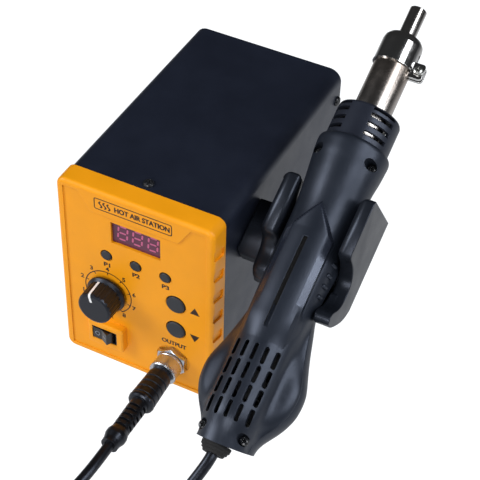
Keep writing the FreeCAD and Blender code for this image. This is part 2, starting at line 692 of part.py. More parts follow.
def power_switch():
    """Frame with trunnion holes, and the rocker in its off position."""
    x, z = dim.switch_x, dim.switch_z
    pivot_y = 2.1
    rest = math.radians(14.5)
    frame = block((x - dim.switch_w / 2, -4.2, z - dim.switch_ht / 2),
                  (dim.switch_w, 17.0, dim.switch_ht))
    frame = frame.cut(block((x - 7.5, -6.0, z - 4.275), (15.0, 12.0, 8.55)))
    frame = frame.cut(rod((x, pivot_y, z - 6), 1.06, 12, Z))
    station(raw("power_switch_shape", frame), "power_switch")

    # rocker section before it is turned: along x, outward from the pivot
    section = [(0, 7.23), (5.35, 8.60), (6.35, 4.9), (7.15, 2.0), (6.4, 0.6), (3.0, -1.6),
               (-3.0, -1.6), (-6.4, 0.6), (-7.15, 2.0), (-6.35, 4.9), (-5.35, 8.60)]
    points = []
    for along, out in section:
        turned_x = along * math.cos(rest) - out * math.sin(rest)
        turned_out = along * math.sin(rest) + out * math.cos(rest)
        points.append(V(x + turned_x, pivot_y - turned_out, 0))
    rocker = face(points).extrude(V(0, 0, 8.3))
    rocker.translate(V(0, 0, z - 4.15))
    rocker = round_all(rocker, 0.35, lambda e: straight(e, "z"))
    rocker = rocker.fuse(rod((x, pivot_y, z - 4.85), 1.0, 9.7, Z))
    station(raw("power_rocker_shape", tidy(rocker)), "power_rocker")


# ======================================================================
# SOCKET AND HANDPIECE PLUG
# ======================================================================
SOCKET_X, SOCKET_Z = dim.socket_x, dim.socket_z
THREAD_R = dim.socket_thread / 2
BOOT_Y = -11.7                     # the boot runs forward from here


def panel_socket():
    """Threaded socket with its nut, insert and contact pins."""
    front_y = -9.6
    flange = PANEL_BACK + 9.65
    socket = lathe([(0, 6.6), (0, THREAD_R), (flange, THREAD_R), (flange, 9.6),
                    (PANEL_BACK + 11.6, 9.6), (PANEL_BACK + 11.6, 7.2),
                    (PANEL_BACK + 14.5, 7.2), (PANEL_BACK + 14.5, 6.6)],
                   (SOCKET_X, front_y, SOCKET_Z), Y)
    station(raw("panel_socket_shape", socket), "panel_socket")

    nut_y = -2.65
    nut = face([V(SOCKET_X + x, 0, SOCKET_Z + z) for x, z in around(10.2, 6, 30)]).extrude(
        V(0, 4.2, 0))
    nut.translate(V(0, nut_y, 0))
    nut = nut.common(lathe([(0, 0), (0, 8.9), (0.9, 10.0), (4.2, 10.3), (4.2, 0)],
                           (SOCKET_X, nut_y, SOCKET_Z), Y))
    nut = nut.cut(rod((SOCKET_X, -5, SOCKET_Z), THREAD_R + 0.02, 10))
    station(raw("socket_nut_shape", nut), "socket_nut")

    insert = lathe([(0, 0), (0, 6.56), (11.0, 6.56), (11.0, 0)],
                   (SOCKET_X, PANEL_BACK - 3.0, SOCKET_Z), Y)
    pins = []
    for i, (x, z) in enumerate(around(3.9, 6)):
        x += SOCKET_X
        z += SOCKET_Z
        insert = insert.cut(rod((x, -8, z), 0.9, 30))
        pins.append(cyl("contact_pin_%d" % i, (x, -9.4, z), 0.85, 21.0, "y"))
    station(raw("socket_insert_shape", insert), "socket_insert")
    station(group("pins_group", pins), "contact_pins")


def coupling_ring():
    """Ring over the socket's thread, V grooved outside, narrower bore at its far end."""
    radius, bore, end = dim.ring_od / 2, THREAD_R + 0.05, dim.ring_len
    waist = radius - 0.25
    body = new_body("coupling_ring_body")
    profile = sketch_on(body, "ring_profile", "XY_Plane")
    poly(profile, [(bore, 0.0), (radius - 0.5, 0.0), (radius, 0.5), (radius, 1.2),
                   (waist, 1.5), (waist, 7.9), (radius, 8.2), (radius, 9.3),
                   (radius - 0.6, end), (6.25, end), (6.25, 8.4), (bore, 8.4)])
    revolve(body, profile)
    knurl = sketch_on(body, "knurl_profile", "XZ_Plane", -8.0)
    poly(knurl, [(waist - 0.32, 0.0), (waist + 0.5, -0.42), (waist + 0.5, 0.42)])
    polar(body, pocket(body, knurl, 6.4, "Knurl"), knurl, 40, "Knurls")
    node(body, "coupling_ring", ("dim.socket_x + dim.shift_x", "-2.9 + dim.shift_y",
                                 "dim.socket_z"), Rotation(X, 180))


def plug_boot():
    """Moulded boot: neck, grooved grip, slotted strain relief and collar."""
    end = dim.boot_len
    profile = [(0, 0), (0, 6.2), (3.8, 6.2), (3.8, 7.1), (6.0, 7.3)]
    for k in range(4):
        groove, grow = 9.0 + 4.6 * k, 0.19 * k
        profile += [(groove, 7.35 + grow), (groove + 0.35, 6.75 + grow),
                    (groove + 1.1, 6.75 + grow), (groove + 1.45, 7.4 + grow)]
    profile += [(25.0, 8.2), (26.4, 7.9), (27.3, 6.9), (27.5, 5.7), (49.3, 5.4), (50.2, 5.7),
                (52.5, 6.4), (54.8, 6.4), (58.0, 5.4), (60.2, 5.2), (end, 5.2),
                (end, 3.25), (28, 3.25), (28, 0)]
    boot = lathe(profile, (SOCKET_X, BOOT_Y, SOCKET_Z), FORWARD)
    # slots from above and below alternate with slots from the sides
    slots = []
    for k in range(5):
        y = BOOT_Y - 30.0 - 3.9 * k
        for start in (-6.9, 3.9):
            slots.append(block((SOCKET_X - 3.5, y - 3.65, SOCKET_Z + start), (7.0, 1.7, 3.0)))
            slots.append(block((SOCKET_X + start, y - 1.7, SOCKET_Z - 3.5), (3.0, 1.7, 7.0)))
    station(raw("plug_boot_shape", boot.cut(Part.makeCompound(slots))), "plug_boot")


# ======================================================================
# INSIDE THE CONTROL UNIT
# ======================================================================
def power_board():
    board = box("power_board", ("-dim.pcb_w / 2", 37.0, "dim.pcb_z"),
                ("dim.pcb_w", "dim.pcb_len", "dim.pcb_th"))
    station(cut("main_pcb_part", board, [cyl("main_board_hole_%d" % i, (x, y, 10), 1.7, 10)
                                         for i, (x, y) in enumerate(STANDOFFS)]), "main_pcb")
    floor = dim.chassis_z + dim.chassis_th
    posts = []
    for i, (x, y) in enumerate(STANDOFFS):
        post = hexa("standoff_hex_%d" % i, (x, y, floor + 0.01), 3.2, dim.pcb_z - floor - 0.02)
        bore = cyl("standoff_bore_%d" % i, (x, y, floor - 1), 1.5, 14)
        posts.append(cut("standoff_%d" % i, post, [bore]))
    station(group("standoffs_group", posts), "pcb_standoffs")


def transformer():
    """Core with two windows, and the winding round its middle leg."""
    windows = [box("core_window_%s" % side, (x, 80, PCB_TOP + 6), (5.2, 40, 17))
               for side, x in (("a", 8.0), ("b", 24.8))]
    station(cut("core_part", box("core_block", (2, 84, PCB_TOP), (34, 30, 29)), windows),
            "transformer_core")
    winding = block((8.2, 79.5, PCB_TOP + 6.3), (21.6, 39.0, 16.4))
    winding = winding.cut(block((13.18, 83.98, PCB_TOP), (11.64, 30.04, 30)))
    # only the outer upright corners, on the faces 19.5 from the middle at y = 99
    winding = round_all(winding, 2.0, lambda e: straight(e, "z")
                        and abs(abs(e.Vertexes[0].Point.y - 99.0) - 19.5) < 0.01)
    station(raw("transformer_winding_shape", winding), "transformer_winding")


def triac_and_heatsink():
    sink = [box("sink_back", (-34, 60, PCB_TOP), (30, 3, 30))]
    sink += [box("sink_fin_%d" % k, (-34 + 4.5 * k, 62.9, PCB_TOP), (1.5, 11, 30))
             for k in range(7)]
    station(cut("sink_part", fuse("sink_sum", sink),
                [cyl("sink_hole", (-19, 55, PCB_TOP + 20), 1.6, 10, "y")]), "triac_heatsink")
    triac = [box("triac_body", (-24.2, 55.3, PCB_TOP + 5), (10.4, 4.68, 10)),
             box("triac_tab", (-24.2, 58.6, PCB_TOP + 14.9), (10.4, 1.38, 6.8))]
    triac += [box("triac_leg_%d" % k, (-21.9 + 2.54 * k, 57.0, PCB_TOP), (0.8, 0.5, 5.1))
              for k in range(3)]
    station(cut("triac_part", fuse("triac_sum", triac),
                [cyl("triac_hole", (-19, 50, PCB_TOP + 18.6), 1.7, 20, "y")]), "triac")


def mains_inlet():
    """Block through the rear panel with a flange outside it, pins and fuse drawer."""
    x, y, z = INLET_X, INLET_Y, INLET_Z
    flange = round_all(block((x - 22.0, y, z - 16.7), (44.0, 2.6, 33.4)), 3.0,
                       lambda e: straight(e, "y"))
    inlet = flange.fuse(block((x - 13.8, y - 25.0, z - 15.8), (27.6, 26.0, 31.6)))
    socket_outline = [(-12.0, 6.6), (-12.0, -3.6), (-8.6, -7.6),
                      (8.6, -7.6), (12.0, -3.6), (12.0, 6.6)]
    socket = face([V(x + across, 0, z - 5.0 + up) for across, up in socket_outline]).extrude(
        V(0, 17.0, 0))
    socket.translate(V(0, y + 2.7 - 17.0, 0))
    inlet = inlet.cut(socket)
    inlet = inlet.cut(block((x - 12.05, y + 2.7 - 21.0, z + 5.35), (24.1, 21.0, 8.1)))
    for shift in (-INLET_SCREW, INLET_SCREW):
        inlet = inlet.cut(rod((x + shift, y - 3, z), 1.65, 10))
    station(raw("mains_inlet_shape", inlet), "mains_inlet")

    pins = [block((x + across - 1.0, y - 14.28, z - 5.0 + up - 2.0), (2.0, 16.0, 4.0))
            for across, up in ((-7.0, -2.0), (7.0, -2.0), (0.0, 2.0))]
    station(bundle("inlet_pin", pins), "inlet_pins")

    drawer = block((x - 12.0, y + 3.0 - 20.0, z + 5.4), (24.0, 20.0, 8.0))
    drawer = drawer.cut(block((x - 10.7, y + 3.0 - 18.4, z + 7.0), (21.4, 15.0, 7.0)))
    drawer = drawer.cut(block((x - 3.0, y + 2.3, z + 5.3), (6.0, 1.0, 2.4)))
    station(raw("fuse_drawer_shape", drawer), "fuse_drawer")
    link = lathe([(0, 0), (0, 2.55), (5, 2.55), (5, 2.35), (15, 2.35), (15, 2.55),
                  (20, 2.55), (20, 0)], (x - 10.0, y - 8.0, z + 9.8), X)
    station(raw("fuse_shape", link), "fuse")


# ======================================================================
# HANDPIECE SHELLS
# ======================================================================
SEAM = -6.0                # the two half shells meet on this z
SKIN_POINTS = 17           # points on each half section
END_BORE_X, END_BORE_Z = -1.2, -0.8        # cable entry in the lower end
LOW_SCREW_SEAT, HIGH_SCREW_SEAT = 0.5, 6.0
# x, y, boss radius, z under the screw head
SHELL_SCREWS = [(-12.0, 7.6, 4.4, LOW_SCREW_SEAT), (12.0, 7.6, 4.4, LOW_SCREW_SEAT),
                (-15.6, 171.0, 3.3, HIGH_SCREW_SEAT), (15.6, 171.0, 3.3, HIGH_SCREW_SEAT)]


def ray_core(angle, half_w, front, back):
    """Distance from the seam's centre to the core ellipse."""
    middle, half_dp = (front + back) / 2, (front - back) / 2
    dx, dz = math.sin(angle), math.cos(angle)
    a = (dx / half_w) ** 2 + (dz / half_dp) ** 2
    b = 2 * dz * (SEAM - middle) / half_dp ** 2
    c = ((SEAM - middle) / half_dp) ** 2 - 1
    return (-b + math.sqrt(b * b - 4 * a * c)) / (2 * a)


def ray_flank(angle, half_w, half_dp, middle):
    """Distance to the squarish flank oval, by bisection."""
    dx, dz = abs(math.sin(angle)), math.cos(angle)
    power = 2.4
    low, high = 0.0, 60.0
    for _ in range(40):
        r = (low + high) / 2
        inside = ((abs(dx * r) / half_w) ** power
                  + (abs(SEAM + dz * r - middle) / half_dp) ** power)
        if inside < 1:
            low = r
        else:
            high = r
    return low


def skin_radius(angle, line):
    """The larger of core and flank, blended where they are close."""
    core = ray_core(angle, *line[1:4])
    flank = ray_flank(angle, *line[4:])
    blend = 1.6
    share = max(blend - abs(core - flank), 0.0) / blend
    return max(core, flank) + share * share * blend / 4


def half_skin(offset, side, first=0.0, last=0.0):
    """Solid half of the outer form, offset; first and last move its end sections."""
    wires = []
    for i in range(len(SKIN)):
        line = [getattr(dim, "skin_%s_%s" % (key, chr(97 + i))) for key in SKIN_KEYS]
        y = line[0]
        if i == 0:
            y += first
        if i == len(SKIN) - 1:
            y += last
        points = []
        for k in range(SKIN_POINTS):
            angle = math.pi * (k / (SKIN_POINTS - 1.0) - 0.5)
            if side < 0:
                angle = math.pi - angle
            r = skin_radius(angle, line) + offset
            points.append(V(r * math.sin(angle), y, SEAM + r * math.cos(angle)))
        points[0].z = SEAM
        points[-1].z = SEAM
        curve = Part.BSplineCurve()
        curve.interpolate(points, False)
        wires.append(Part.Wire([curve.toShape(), Part.makeLine(points[-1], points[0])]))
    return Part.makeLoft(wires, True, False)


def stadium(x, y, width, length, z0, z1):
    """A slot prism along z, its length along y."""
    r = width / 2
    a, b, c, d, e, f = [V(x + dx, y + dy, z0) for dx, dy in (
        (-r, r - length / 2), (-r, length / 2 - r), (0, length / 2),
        (r, length / 2 - r), (r, r - length / 2), (0, -length / 2))]
    outline = Part.Wire([Part.makeLine(a, b), Part.Arc(b, c, d).toShape(),
                         Part.makeLine(d, e), Part.Arc(e, f, a).toShape()])
    return Part.Face(outline).extrude(V(0, 0, z1 - z0))


def lean(shape):
    """The lower end is cut square to the cable, leaning a little."""
    shape.rotate(ORIGIN, X, 10.8)
    shape.translate(V(0, 1.4, 2.0))
    return shape


def slot_grid(z0, z1):
    """Fan slots, five across and four along."""
    return [stadium(x, y, 2.3, 9.6, z0, z1)
            for x in (-11.6, -5.9, 0.0, 5.9, 11.6) for y in (18.7, 29.7, 40.7, 51.7)]


def shell_half(side, cage_void):
    """Hollow half with its end wall, two cross walls at the cage end and screw bosses."""
    outer = half_skin(0.0, side)
    middle = half_skin(-0.9, side, 1.0, -0.2)
    inner = half_skin(-dim.shell_th, side, -8.0, 6.0)
    shell = outer.cut(inner)
    end_wall = lean(block((-60, 0, -60), (120, 2.4, 120)))
    low_wall = block((-40, 174.2, -40), (80, 2.0, 80)).cut(rod((0, 173.2, 0), 16.2, 3.6))
    high_wall = block((-40, 178.9, -40), (80, 2.2, 80)).cut(cage_void)
    ribs = [middle.common(wall) for wall in (end_wall, low_wall, high_wall)]
    for x, y, radius, _ in SHELL_SCREWS:
        base_z = SEAM if side > 0 else SEAM - 44.0
        ribs.append(middle.common(rod((x, y, base_z), radius, 44, Z)))
    return shell.fuse(ribs)


def handle():
    """Both half shells and their screws; returns the shells for the grommet's fit."""
    cage_void = rod((0, dim.cage_start - 0.2, 0), dim.cage_od / 2 + 0.05, 30)
    ends = [cage_void, lean(block((-60, -60, -60), (120, 60, 120))),
            rod((END_BORE_X, -15, END_BORE_Z), 6.0, 40)]
    front = shell_half(1, cage_void)
    rear = shell_half(-1, cage_void)

    # raised grip panel with a pointed top, and a long groove down its middle
    outline = [(-13.2, 74.0), (-13.2, 122.5), (0.0, 139.5), (13.2, 122.5), (13.2, 74.0)]
    prism = face([V(x, y, 0.0) for x, y in outline]).extrude(V(0, 0, 30))
    front = front.fuse(half_skin(1.1, 1).common(prism).cut(half_skin(-0.8, 1)))
    groove = stadium(0.0, 93.0, 2.6, 54.0, 13.2, 30.0)

    front_bores, rear_bores, screws = [], [], []
    for x, y, _, seat in SHELL_SCREWS:
        front_bores.append(rod((x, y, seat), 3.1, 40, Z))
        front_bores.append(rod((x, y, -7), 1.35, 40, Z))
        rear_bores.append(rod((x, y, SEAM + 1), 1.2, 10, DOWN))
        screws.append(pan_screw((x, y, seat), DOWN, 2.7, 1.8, 1.15, seat - SEAM + 6.0))
    front = front.cut(slot_grid(1.0, 30.0) + front_bores + [groove] + ends)
    rear = rear.cut(slot_grid(-40.0, -16.0) + rear_bores + ends)
    hand(raw("handle_front_shape", front), "handle_front_shell")
    hand(raw("handle_rear_shape", rear), "handle_rear_shell")
    hand(bundle("handle_screw", screws), "handle_screws")
    return front, rear


# ======================================================================
# HANDPIECE HOT END
# ======================================================================
BARREL_R = dim.barrel_od / 2
BARREL_START = 168.0


def vent_cage():
    """Slotted plastic collar between the handle and the hot barrel."""
    start, end, radius = dim.cage_start, dim.cage_end, dim.cage_od / 2
    wall = 2.4
    body = new_body("vent_cage_body")
    profile = sketch_on(body, "cage_profile", "XY_Plane")
    poly(profile, [(BARREL_R + 0.05, end), (radius - 1.6, end), (radius - 0.5, end - 0.5),
                   (radius, end - 1.6), (radius, start), (radius - wall, start),
                   (radius - wall, end - wall), (BARREL_R + 0.05, end - wall)])
    revolve(body, profile)
    # each window spans 17 to 65 degrees from the front rib
    window = [(radius + 2.0, angle) for angle in range(17, 66, 8)]
    window += [(radius - 3.4, angle) for angle in range(65, 16, -8)]
    # row's distance from the start of the cage, slot length along y
    for k, (row_y, slot) in enumerate(((4.4, 2.6), (10.0, 2.6), (15.6, 2.6), (20.9, 1.7))):
        sketch = sketch_on(body, "cage_slot_%d" % k, "XZ_Plane", -(start + row_y + slot))
        poly(sketch, [(r * math.sin(math.radians(angle)), r * math.cos(math.radians(angle)))
                      for r, angle in window])
        cut_out = pocket(body, sketch, slot, "CageSlot%d" % k)
        polar(body, cut_out, sketch, 4, "CageSlots%d" % k)
    hand(body, "vent_cage")


def heater():
    """Flanged barrel, mica sleeve, bored ceramic core and the winding's turns."""
    barrel = cut("barrel_part",
                 cyl("barrel_out", (0, BARREL_START, 0), "dim.barrel_od / 2", 80.0, "y"),
                 [cyl("barrel_in", (0, BARREL_START - 1, 0),
                      "dim.barrel_od / 2 - dim.barrel_th", 90.0, "y")])
    flange = cut("barrel_flange", cyl("flange_out", (0, BARREL_START, 0), 12.0, 1.2, "y"),
                 [cyl("flange_in", (0, BARREL_START - 1, 0), "dim.barrel_od / 2 - 0.3", 4, "y")])
    hand(fuse("barrel_sum", [barrel, flange]), "barrel_tube")
    bore = "dim.barrel_od / 2 - dim.barrel_th "
    hand(cut("mica_part", cyl("mica_out", (0, 172, 0), bore + "- 0.06", 66, "y"),
             [cyl("mica_in", (0, 170, 0), bore + "- 0.7", 70, "y")]), "mica_sleeve")
    core = rod((0, 172, 0), 5.2, 62)
    for x, z in around(3.2, 6):
        core = core.cut(rod((x, 170, z), 1.1, 70))
    core = core.fuse(rod((0, 169.0, 0), 8.9, 3.0))
    hand(raw("heater_core_shape", core), "heater_core")
    hand(bundle("coil_turn", [Part.makeTorus(6.6, 0.65, V(0, 178 + 4.2 * k, 0), Y)
                              for k in range(13)]), "heater_coil")


def nozzle():
    """Slit clamp skirt, domed shoulder and tip, with the clamp's screw and nut."""
    radius, tip, start, end = dim.nozzle_od / 2, dim.tip_od / 2, dim.nozzle_start, dim.tip_end
    bore_r = BARREL_R + 0.06
    outer = lathe([(start, 0), (start, radius + 0.25), (start + 0.9, radius + 0.25),
                   (start + 1.2, radius), (250.0, radius), (252.4, radius - 0.5),
                   (254.3, radius - 1.9), (255.6, radius - 4.0), (256.2, tip + 0.4),
                   (256.8, tip), (end - 0.3, tip), (end, tip - 0.25), (end, 0)], ORIGIN, Y)
    bore = lathe([(start - 6.0, 0), (start - 6.0, bore_r), (248.6, bore_r),
                  (251.0, radius - 1.2), (253.2, radius - 3.0), (254.6, radius - 4.8),
                  (256.0, tip - 0.8), (end + 2.0, tip - 0.8), (end + 2.0, 0)], ORIGIN, Y)
    ears = round_all(block((radius - 2.2, start - 3.4, -2.8), (9.0, 9.6, 5.6)), 2.0,
                     lambda e: straight(e, "z") and e.Vertexes[0].Point.x > radius + 2)
    shape = outer.fuse(ears).cut(bore)
    # the slit through the ears, and a round hole at its end
    shape = shape.cut([block((BARREL_R - 1.5, start - 5.0, -0.75), (14.0, 15.5, 1.5)),
                       rod((BARREL_R - 2.0, start + 10.9, 0), 1.3, 8, X)])
    x, y = radius + 3.4, start + 1.4           # clamp screw
    shape = shape.cut(rod((x, y, -10), 1.58, 20, Z))
    hand(raw("nozzle_shape", shape), "nozzle")
    hand(raw("clamp_screw_shape", pan_screw((x, y, 2.82), DOWN, 2.9, 2.1, 1.5, 11.0)),
         "nozzle_clamp_screw")
    nut = face([V(x + dx, y + dy, -5.2) for dx, dy in around(3.1, 6)]).extrude(V(0, 0, 2.36))
    hand(raw("clamp_nut_shape", nut.cut(rod((x, y, -8), 1.56, 10, Z))), "nozzle_clamp_nut")


# ======================================================================
# INSIDE THE HANDLE
# ======================================================================
def fan():
    """Housing, motor and impeller, lying flat with their axis along z."""
    y, z = 38.5, -12.0
    housing = rod((0, y, z - 7.0), 22.0, 14.0, Z).fuse(block((-9, y, z - 7.0), (18, 28, 14)))
    housing = housing.cut([rod((0, y, z - 5.6), 20.6, 11.2, Z),
                           block((-7.6, y + 2, z - 5.6), (15.2, 50, 11.2)),
                           rod((0, y, z), 13.0, 10, Z)])
    hand(raw("fan_housing_shape", housing), "fan_housing")
    motor = lathe([(0, 0), (0, 8.0), (1.0, 8.0), (1.0, 6.4), (7.0, 6.4), (7.0, 1.55),
                   (0.6, 1.55), (0.6, 0)], (0, y, z - 5.58), Z)
    hand(raw("fan_motor_shape", motor), "fan_motor")
    hub = lathe([(0.2, 7.4), (0.2, 8.4), (8.8, 8.4), (8.8, 0), (-0.4, 0), (-0.4, 1.5),
                 (7.8, 1.5), (7.8, 7.4)], (0, y, z - 4.2), Z)
    blades = []
    for k in range(15):
        blade = block((8.0, -0.45, z - 4.0), (11.0, 0.9, 8.0))
        blade.rotate(V(8.0, 0, 0), Z, 24)      # sweep from the radial line
        blade.rotate(ORIGIN, Z, 24 * k)
        blade.translate(V(0, y, 0))
        blades.append(blade)
    hand(raw("fan_impeller_shape", tidy(hub.fuse(blades))), "fan_impeller")


def reed_board():
    """Small board with the reed switch, in the grip."""
    hand(fuse("reed_board_sum", [box("reed_board", (-10, 100, -14.0), (20, 34, 1.4)),
                                 cyl("reed_glass", (0, 108, -11.2), 1.5, 16, "y")]),
         "reed_switch_board")


def cable_grommet(shells):
    """Three steps outside the end wall, and a neck through its hole."""
    bore = dim.cable_d / 2 + 0.03
    grommet = lathe([(0, bore), (0, 6.0), (1.4, 6.6), (1.6, 7.3), (3.0, 7.5), (3.2, 8.2),
                     (5.6, 8.4), (5.6, 5.9), (8.6, 5.9), (8.6, 7.4), (9.6, 7.4), (9.6, bore)],
                    (END_BORE_X, -4.6, END_BORE_Z), Y)
    for shell in shells:
        grommet = grommet.cut(shell)
    hand(raw("cable_grommet_shape", max(grommet.Solids, key=lambda s: s.Volume)),
         "cable_grommet")


# ======================================================================
# CRADLE, in the handpiece frame, fixed to the unit's right side
# ======================================================================
CRADLE_BACK = -28.0                        # z of the web's underside
UNIT_SIDE = HALF_W - dim.hand_x            # the unit's right side, as x in this frame
MAGNET_Y = 126.0


def smooth(points, count):
    """Points along a spline through the given (z, y) points."""
    curve = Part.BSplineCurve()
    curve.interpolate([V(z, y, 0) for z, y in points])
    return [(p.x, p.y) for p in curve.discretize(count)]


def arm(outline, x):
    """A (z, y) outline extruded to the arm's width from x."""
    return face([V(x, y, z) for z, y in outline]).extrude(V(dim.arm_out - dim.arm_in, 0, 0))


def holder_cradle():
    """Two arms on a web, and the mounting block beside the left one."""
    arm_in, arm_out, back = dim.arm_in, dim.arm_out, CRADLE_BACK
    lower_edge = smooth([(back, 101.0), (-24.5, 95.0), (-19.0, 90.5), (-10.0, 85.6),
                         (-2.0, 82.6), (2.0, 82.9)], 14)
    right_notch = smooth([(3.0, 85.6), (-4.0, 89.6), (-8.6, 95.0), (-10.0, 102.0),
                          (-8.4, 109.2), (-3.2, 113.9), (5.0, 116.2), (14.4, 116.4)], 20)
    left_notch = smooth([(-19.0, 98.0), (-13.6, 101.0), (-11.6, 106.0), (-10.2, 112.0),
                         (-5.0, 117.3), (3.0, 118.6)], 14)
    right = arm([(17.0, 118.0), (17.0, 151.0), (back, 157.0)] + lower_edge + right_notch,
                arm_in)
    left = arm([(5.0, 120.0), (5.0, 154.0), (back, 157.0), (back, 98.0)] + left_notch,
               -arm_out)
    web = block((-arm_out, 101.0, back), (2 * arm_out, 56.0, dim.cradle_web))
    mount = block((UNIT_SIDE, 106.5, back), (abs(UNIT_SIDE) - arm_out + 0.5, 36.0, 17.0))
    cradle = tidy(right.fuse([left, web, mount]))

    # guards against a radius the kernel refuses: the largest that works is used
    for radius in (2.0, 1.2, 0.6):
        try:
            rounded = cradle.makeFillet(radius, [
                e for e in cradle.Edges
                if straight(e, "y") and e.Length > 25 and e.BoundBox.ZMin > back + 1])
            if rounded.isValid():
                cradle = rounded
                break
        except Exception:
            continue
    # screw passages to the unit's side, wide enough for the heads inside the left arm
    for y, z in CRADLE_SCREWS:
        cradle = cradle.cut(rod((UNIT_SIDE - 1, y, z), 1.7, 30, X))
        cradle = cradle.cut(rod((-arm_out - 3.0, y, z), 3.4, arm_out - arm_in + 3.1, X))
    web_top = back + dim.cradle_web
    cradle = cradle.cut(rod((0, MAGNET_Y, web_top - 2.6), 4.05, 2.6, Z))
    hand(raw("holder_cradle_shape", cradle), "holder_cradle")
    hand(cyl("magnet_part", (0, MAGNET_Y, web_top - 2.58), 4.0, 2.5), "cradle_magnet")
    hand(bundle("cradle_screw", [
        pan_screw((-arm_out - 2.98, y, z), V(-1, 0, 0), 2.9, 1.8, 1.5,
                  abs(UNIT_SIDE) - arm_out - 3.0 + 6.0)
        for y, z in CRADLE_SCREWS]), "cradle_screws")


# ======================================================================
# CABLE AND SMALL SCREWS, in the station frame
# ======================================================================
def handle_cable():
    """One loop from the plug, over the bench, to the handpiece."""
    start = V(SOCKET_X, BOOT_Y - dim.boot_len - 0.02, SOCKET_Z)
    end = V(dim.hand_x + END_BORE_X, *tilted(-4.7, END_BORE_Z))
    outward = V(0, -math.cos(TILT), -math.sin(TILT))       # out of the handpiece
    path = Part.BSplineCurve()
    path.interpolate([
        start, start + V(0, -6, 0),
        V(SOCKET_X - 1.0, -96, SOCKET_Z - 1.0), V(SOCKET_X - 6, -116, 20.5),
        V(SOCKET_X - 13, -137, 11.5), V(SOCKET_X - 13, -156, 6.5), V(24, -168, 5.0),
        V(46, -164, 7.5), V(64, -143, 18), V(78, -115, 38.5),
        end + outward * 6 + V(-0.8, 0, 0), end], False)
    heading = path.tangent(path.FirstParameter)[0]
    section = Part.Wire([Part.Circle(start, heading, dim.cable_d / 2).toShape()])
    cable = Part.Wire([path.toShape()]).makePipeShell([section], True, True)
    station(raw("handle_cable_shape", cable), "handle_cable")


def small_screws():
    """Control board, power board, inlet and bezel screws."""
    plate_back = dim.cover_y0 + 0.2 + dim.chassis_th
    screws = [((x, BOARD_Y + 1.6, z), FORWARD) for x, z in PANEL_POSTS]
    screws += [((x, y, dim.pcb_z + dim.pcb_th), DOWN) for x, y in STANDOFFS]
    screws += [((INLET_X + shift, INLET_Y + 2.6, INLET_Z), FORWARD)
               for shift in (-INLET_SCREW, INLET_SCREW)]
    screws += [((x, plate_back, z), FORWARD) for x, z in BEZEL_SCREWS]
    station(bundle("small_screw", [pan_screw(place, way, 2.4, 1.6, 1.2, 6.0)
                                   for place, way in screws]), "small_screws")


# ======================================================================
# BUILD AND EXPORT
# ======================================================================
for build in (front_bezel, top_cover, base_chassis, rear_panel, rubber_feet, cover_fixings,
              display, buttons, potentiometer, airflow_knob, knob_pointer, power_switch,
              panel_socket, coupling_ring, plug_boot,
              power_board, transformer, triac_and_heatsink, mains_inlet):
    build()
half_shells = handle()
for build in (vent_cage, heater, nozzle, fan, reed_board):
    build()
cable_grommet(half_shells)
holder_cradle()
handle_cable()
small_screws()

doc.recompute()
problems = [o.Name for o in doc.Objects if "Invalid" in o.State or "Error" in o.State]
labels = [o.Label for o in NODES]
for o in NODES:
    if o.Shape.isNull() or not o.Shape.isValid() or not o.Shape.Solids:
        problems.append("%s shape" % o.Label)
    if labels.count(o.Label) > 1:
        problems.append("%s twice" % o.Label)
if problems:
    raise SystemExit("not written: " + ", ".join(problems))
os.makedirs("parts", exist_ok=True)
for o in NODES:
    o.Shape.exportStep(os.path.join("parts", o.Label + ".step"))
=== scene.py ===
"""Hot air rework station: a control unit with its handpiece lying in a cradle on the right.

The unit stands on the bench (z = 0) with its front panel facing -y and x to the right.
The handpiece leans back at TILT, with its cable end low at the front and its nozzle high.
Lengths are in mm unless a comment says metres; station() and hand() turn them into metres.
"""
import bpy, bmesh, math, json
import numpy as np
from mathutils import Vector, Matrix


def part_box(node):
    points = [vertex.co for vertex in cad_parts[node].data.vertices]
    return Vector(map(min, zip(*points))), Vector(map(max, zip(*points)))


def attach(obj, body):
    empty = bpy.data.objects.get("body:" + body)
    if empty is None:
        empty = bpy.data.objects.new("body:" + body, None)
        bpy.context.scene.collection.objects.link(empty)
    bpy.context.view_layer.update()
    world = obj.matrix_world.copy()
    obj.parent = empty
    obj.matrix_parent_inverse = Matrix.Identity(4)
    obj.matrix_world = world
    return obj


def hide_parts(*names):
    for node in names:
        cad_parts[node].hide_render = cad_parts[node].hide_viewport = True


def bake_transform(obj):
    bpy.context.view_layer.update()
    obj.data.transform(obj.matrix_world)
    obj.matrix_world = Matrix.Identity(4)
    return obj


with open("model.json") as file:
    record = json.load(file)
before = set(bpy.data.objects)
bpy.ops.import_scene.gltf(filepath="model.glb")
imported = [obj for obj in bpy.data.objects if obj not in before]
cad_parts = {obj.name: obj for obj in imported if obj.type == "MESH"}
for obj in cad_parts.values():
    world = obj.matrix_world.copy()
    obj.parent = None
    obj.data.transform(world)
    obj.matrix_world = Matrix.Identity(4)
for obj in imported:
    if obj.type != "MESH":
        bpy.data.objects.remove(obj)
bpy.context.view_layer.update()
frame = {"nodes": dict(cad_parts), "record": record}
bezel_lo, bezel_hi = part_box("front_bezel")

# ----------------------------------------------------------------------
# frames
# ----------------------------------------------------------------------
CENTRE_X = (bezel_lo.x + bezel_hi.x) / 2    # centre plane of the control unit, metres
RIM_Y = bezel_hi.y - 0.014                  # rim plane of the front panel, metres
PANEL_Z = bezel_lo.z * 1000.0               # lower edge of the front panel
HEADER_Y = 0.0                              # face of the raised header
PANEL_Y = 0.7                               # sunken face of the panel, behind the rim
UNIT_SIDE_X = 50.0                          # right side of the control unit

HAND_X, HAND_Y, HAND_Z = 92.7, -75.04, 68.77    # origin of the handpiece axis
TILT = math.radians(27.7)
COS_TILT, SIN_TILT = math.cos(TILT), math.sin(TILT)


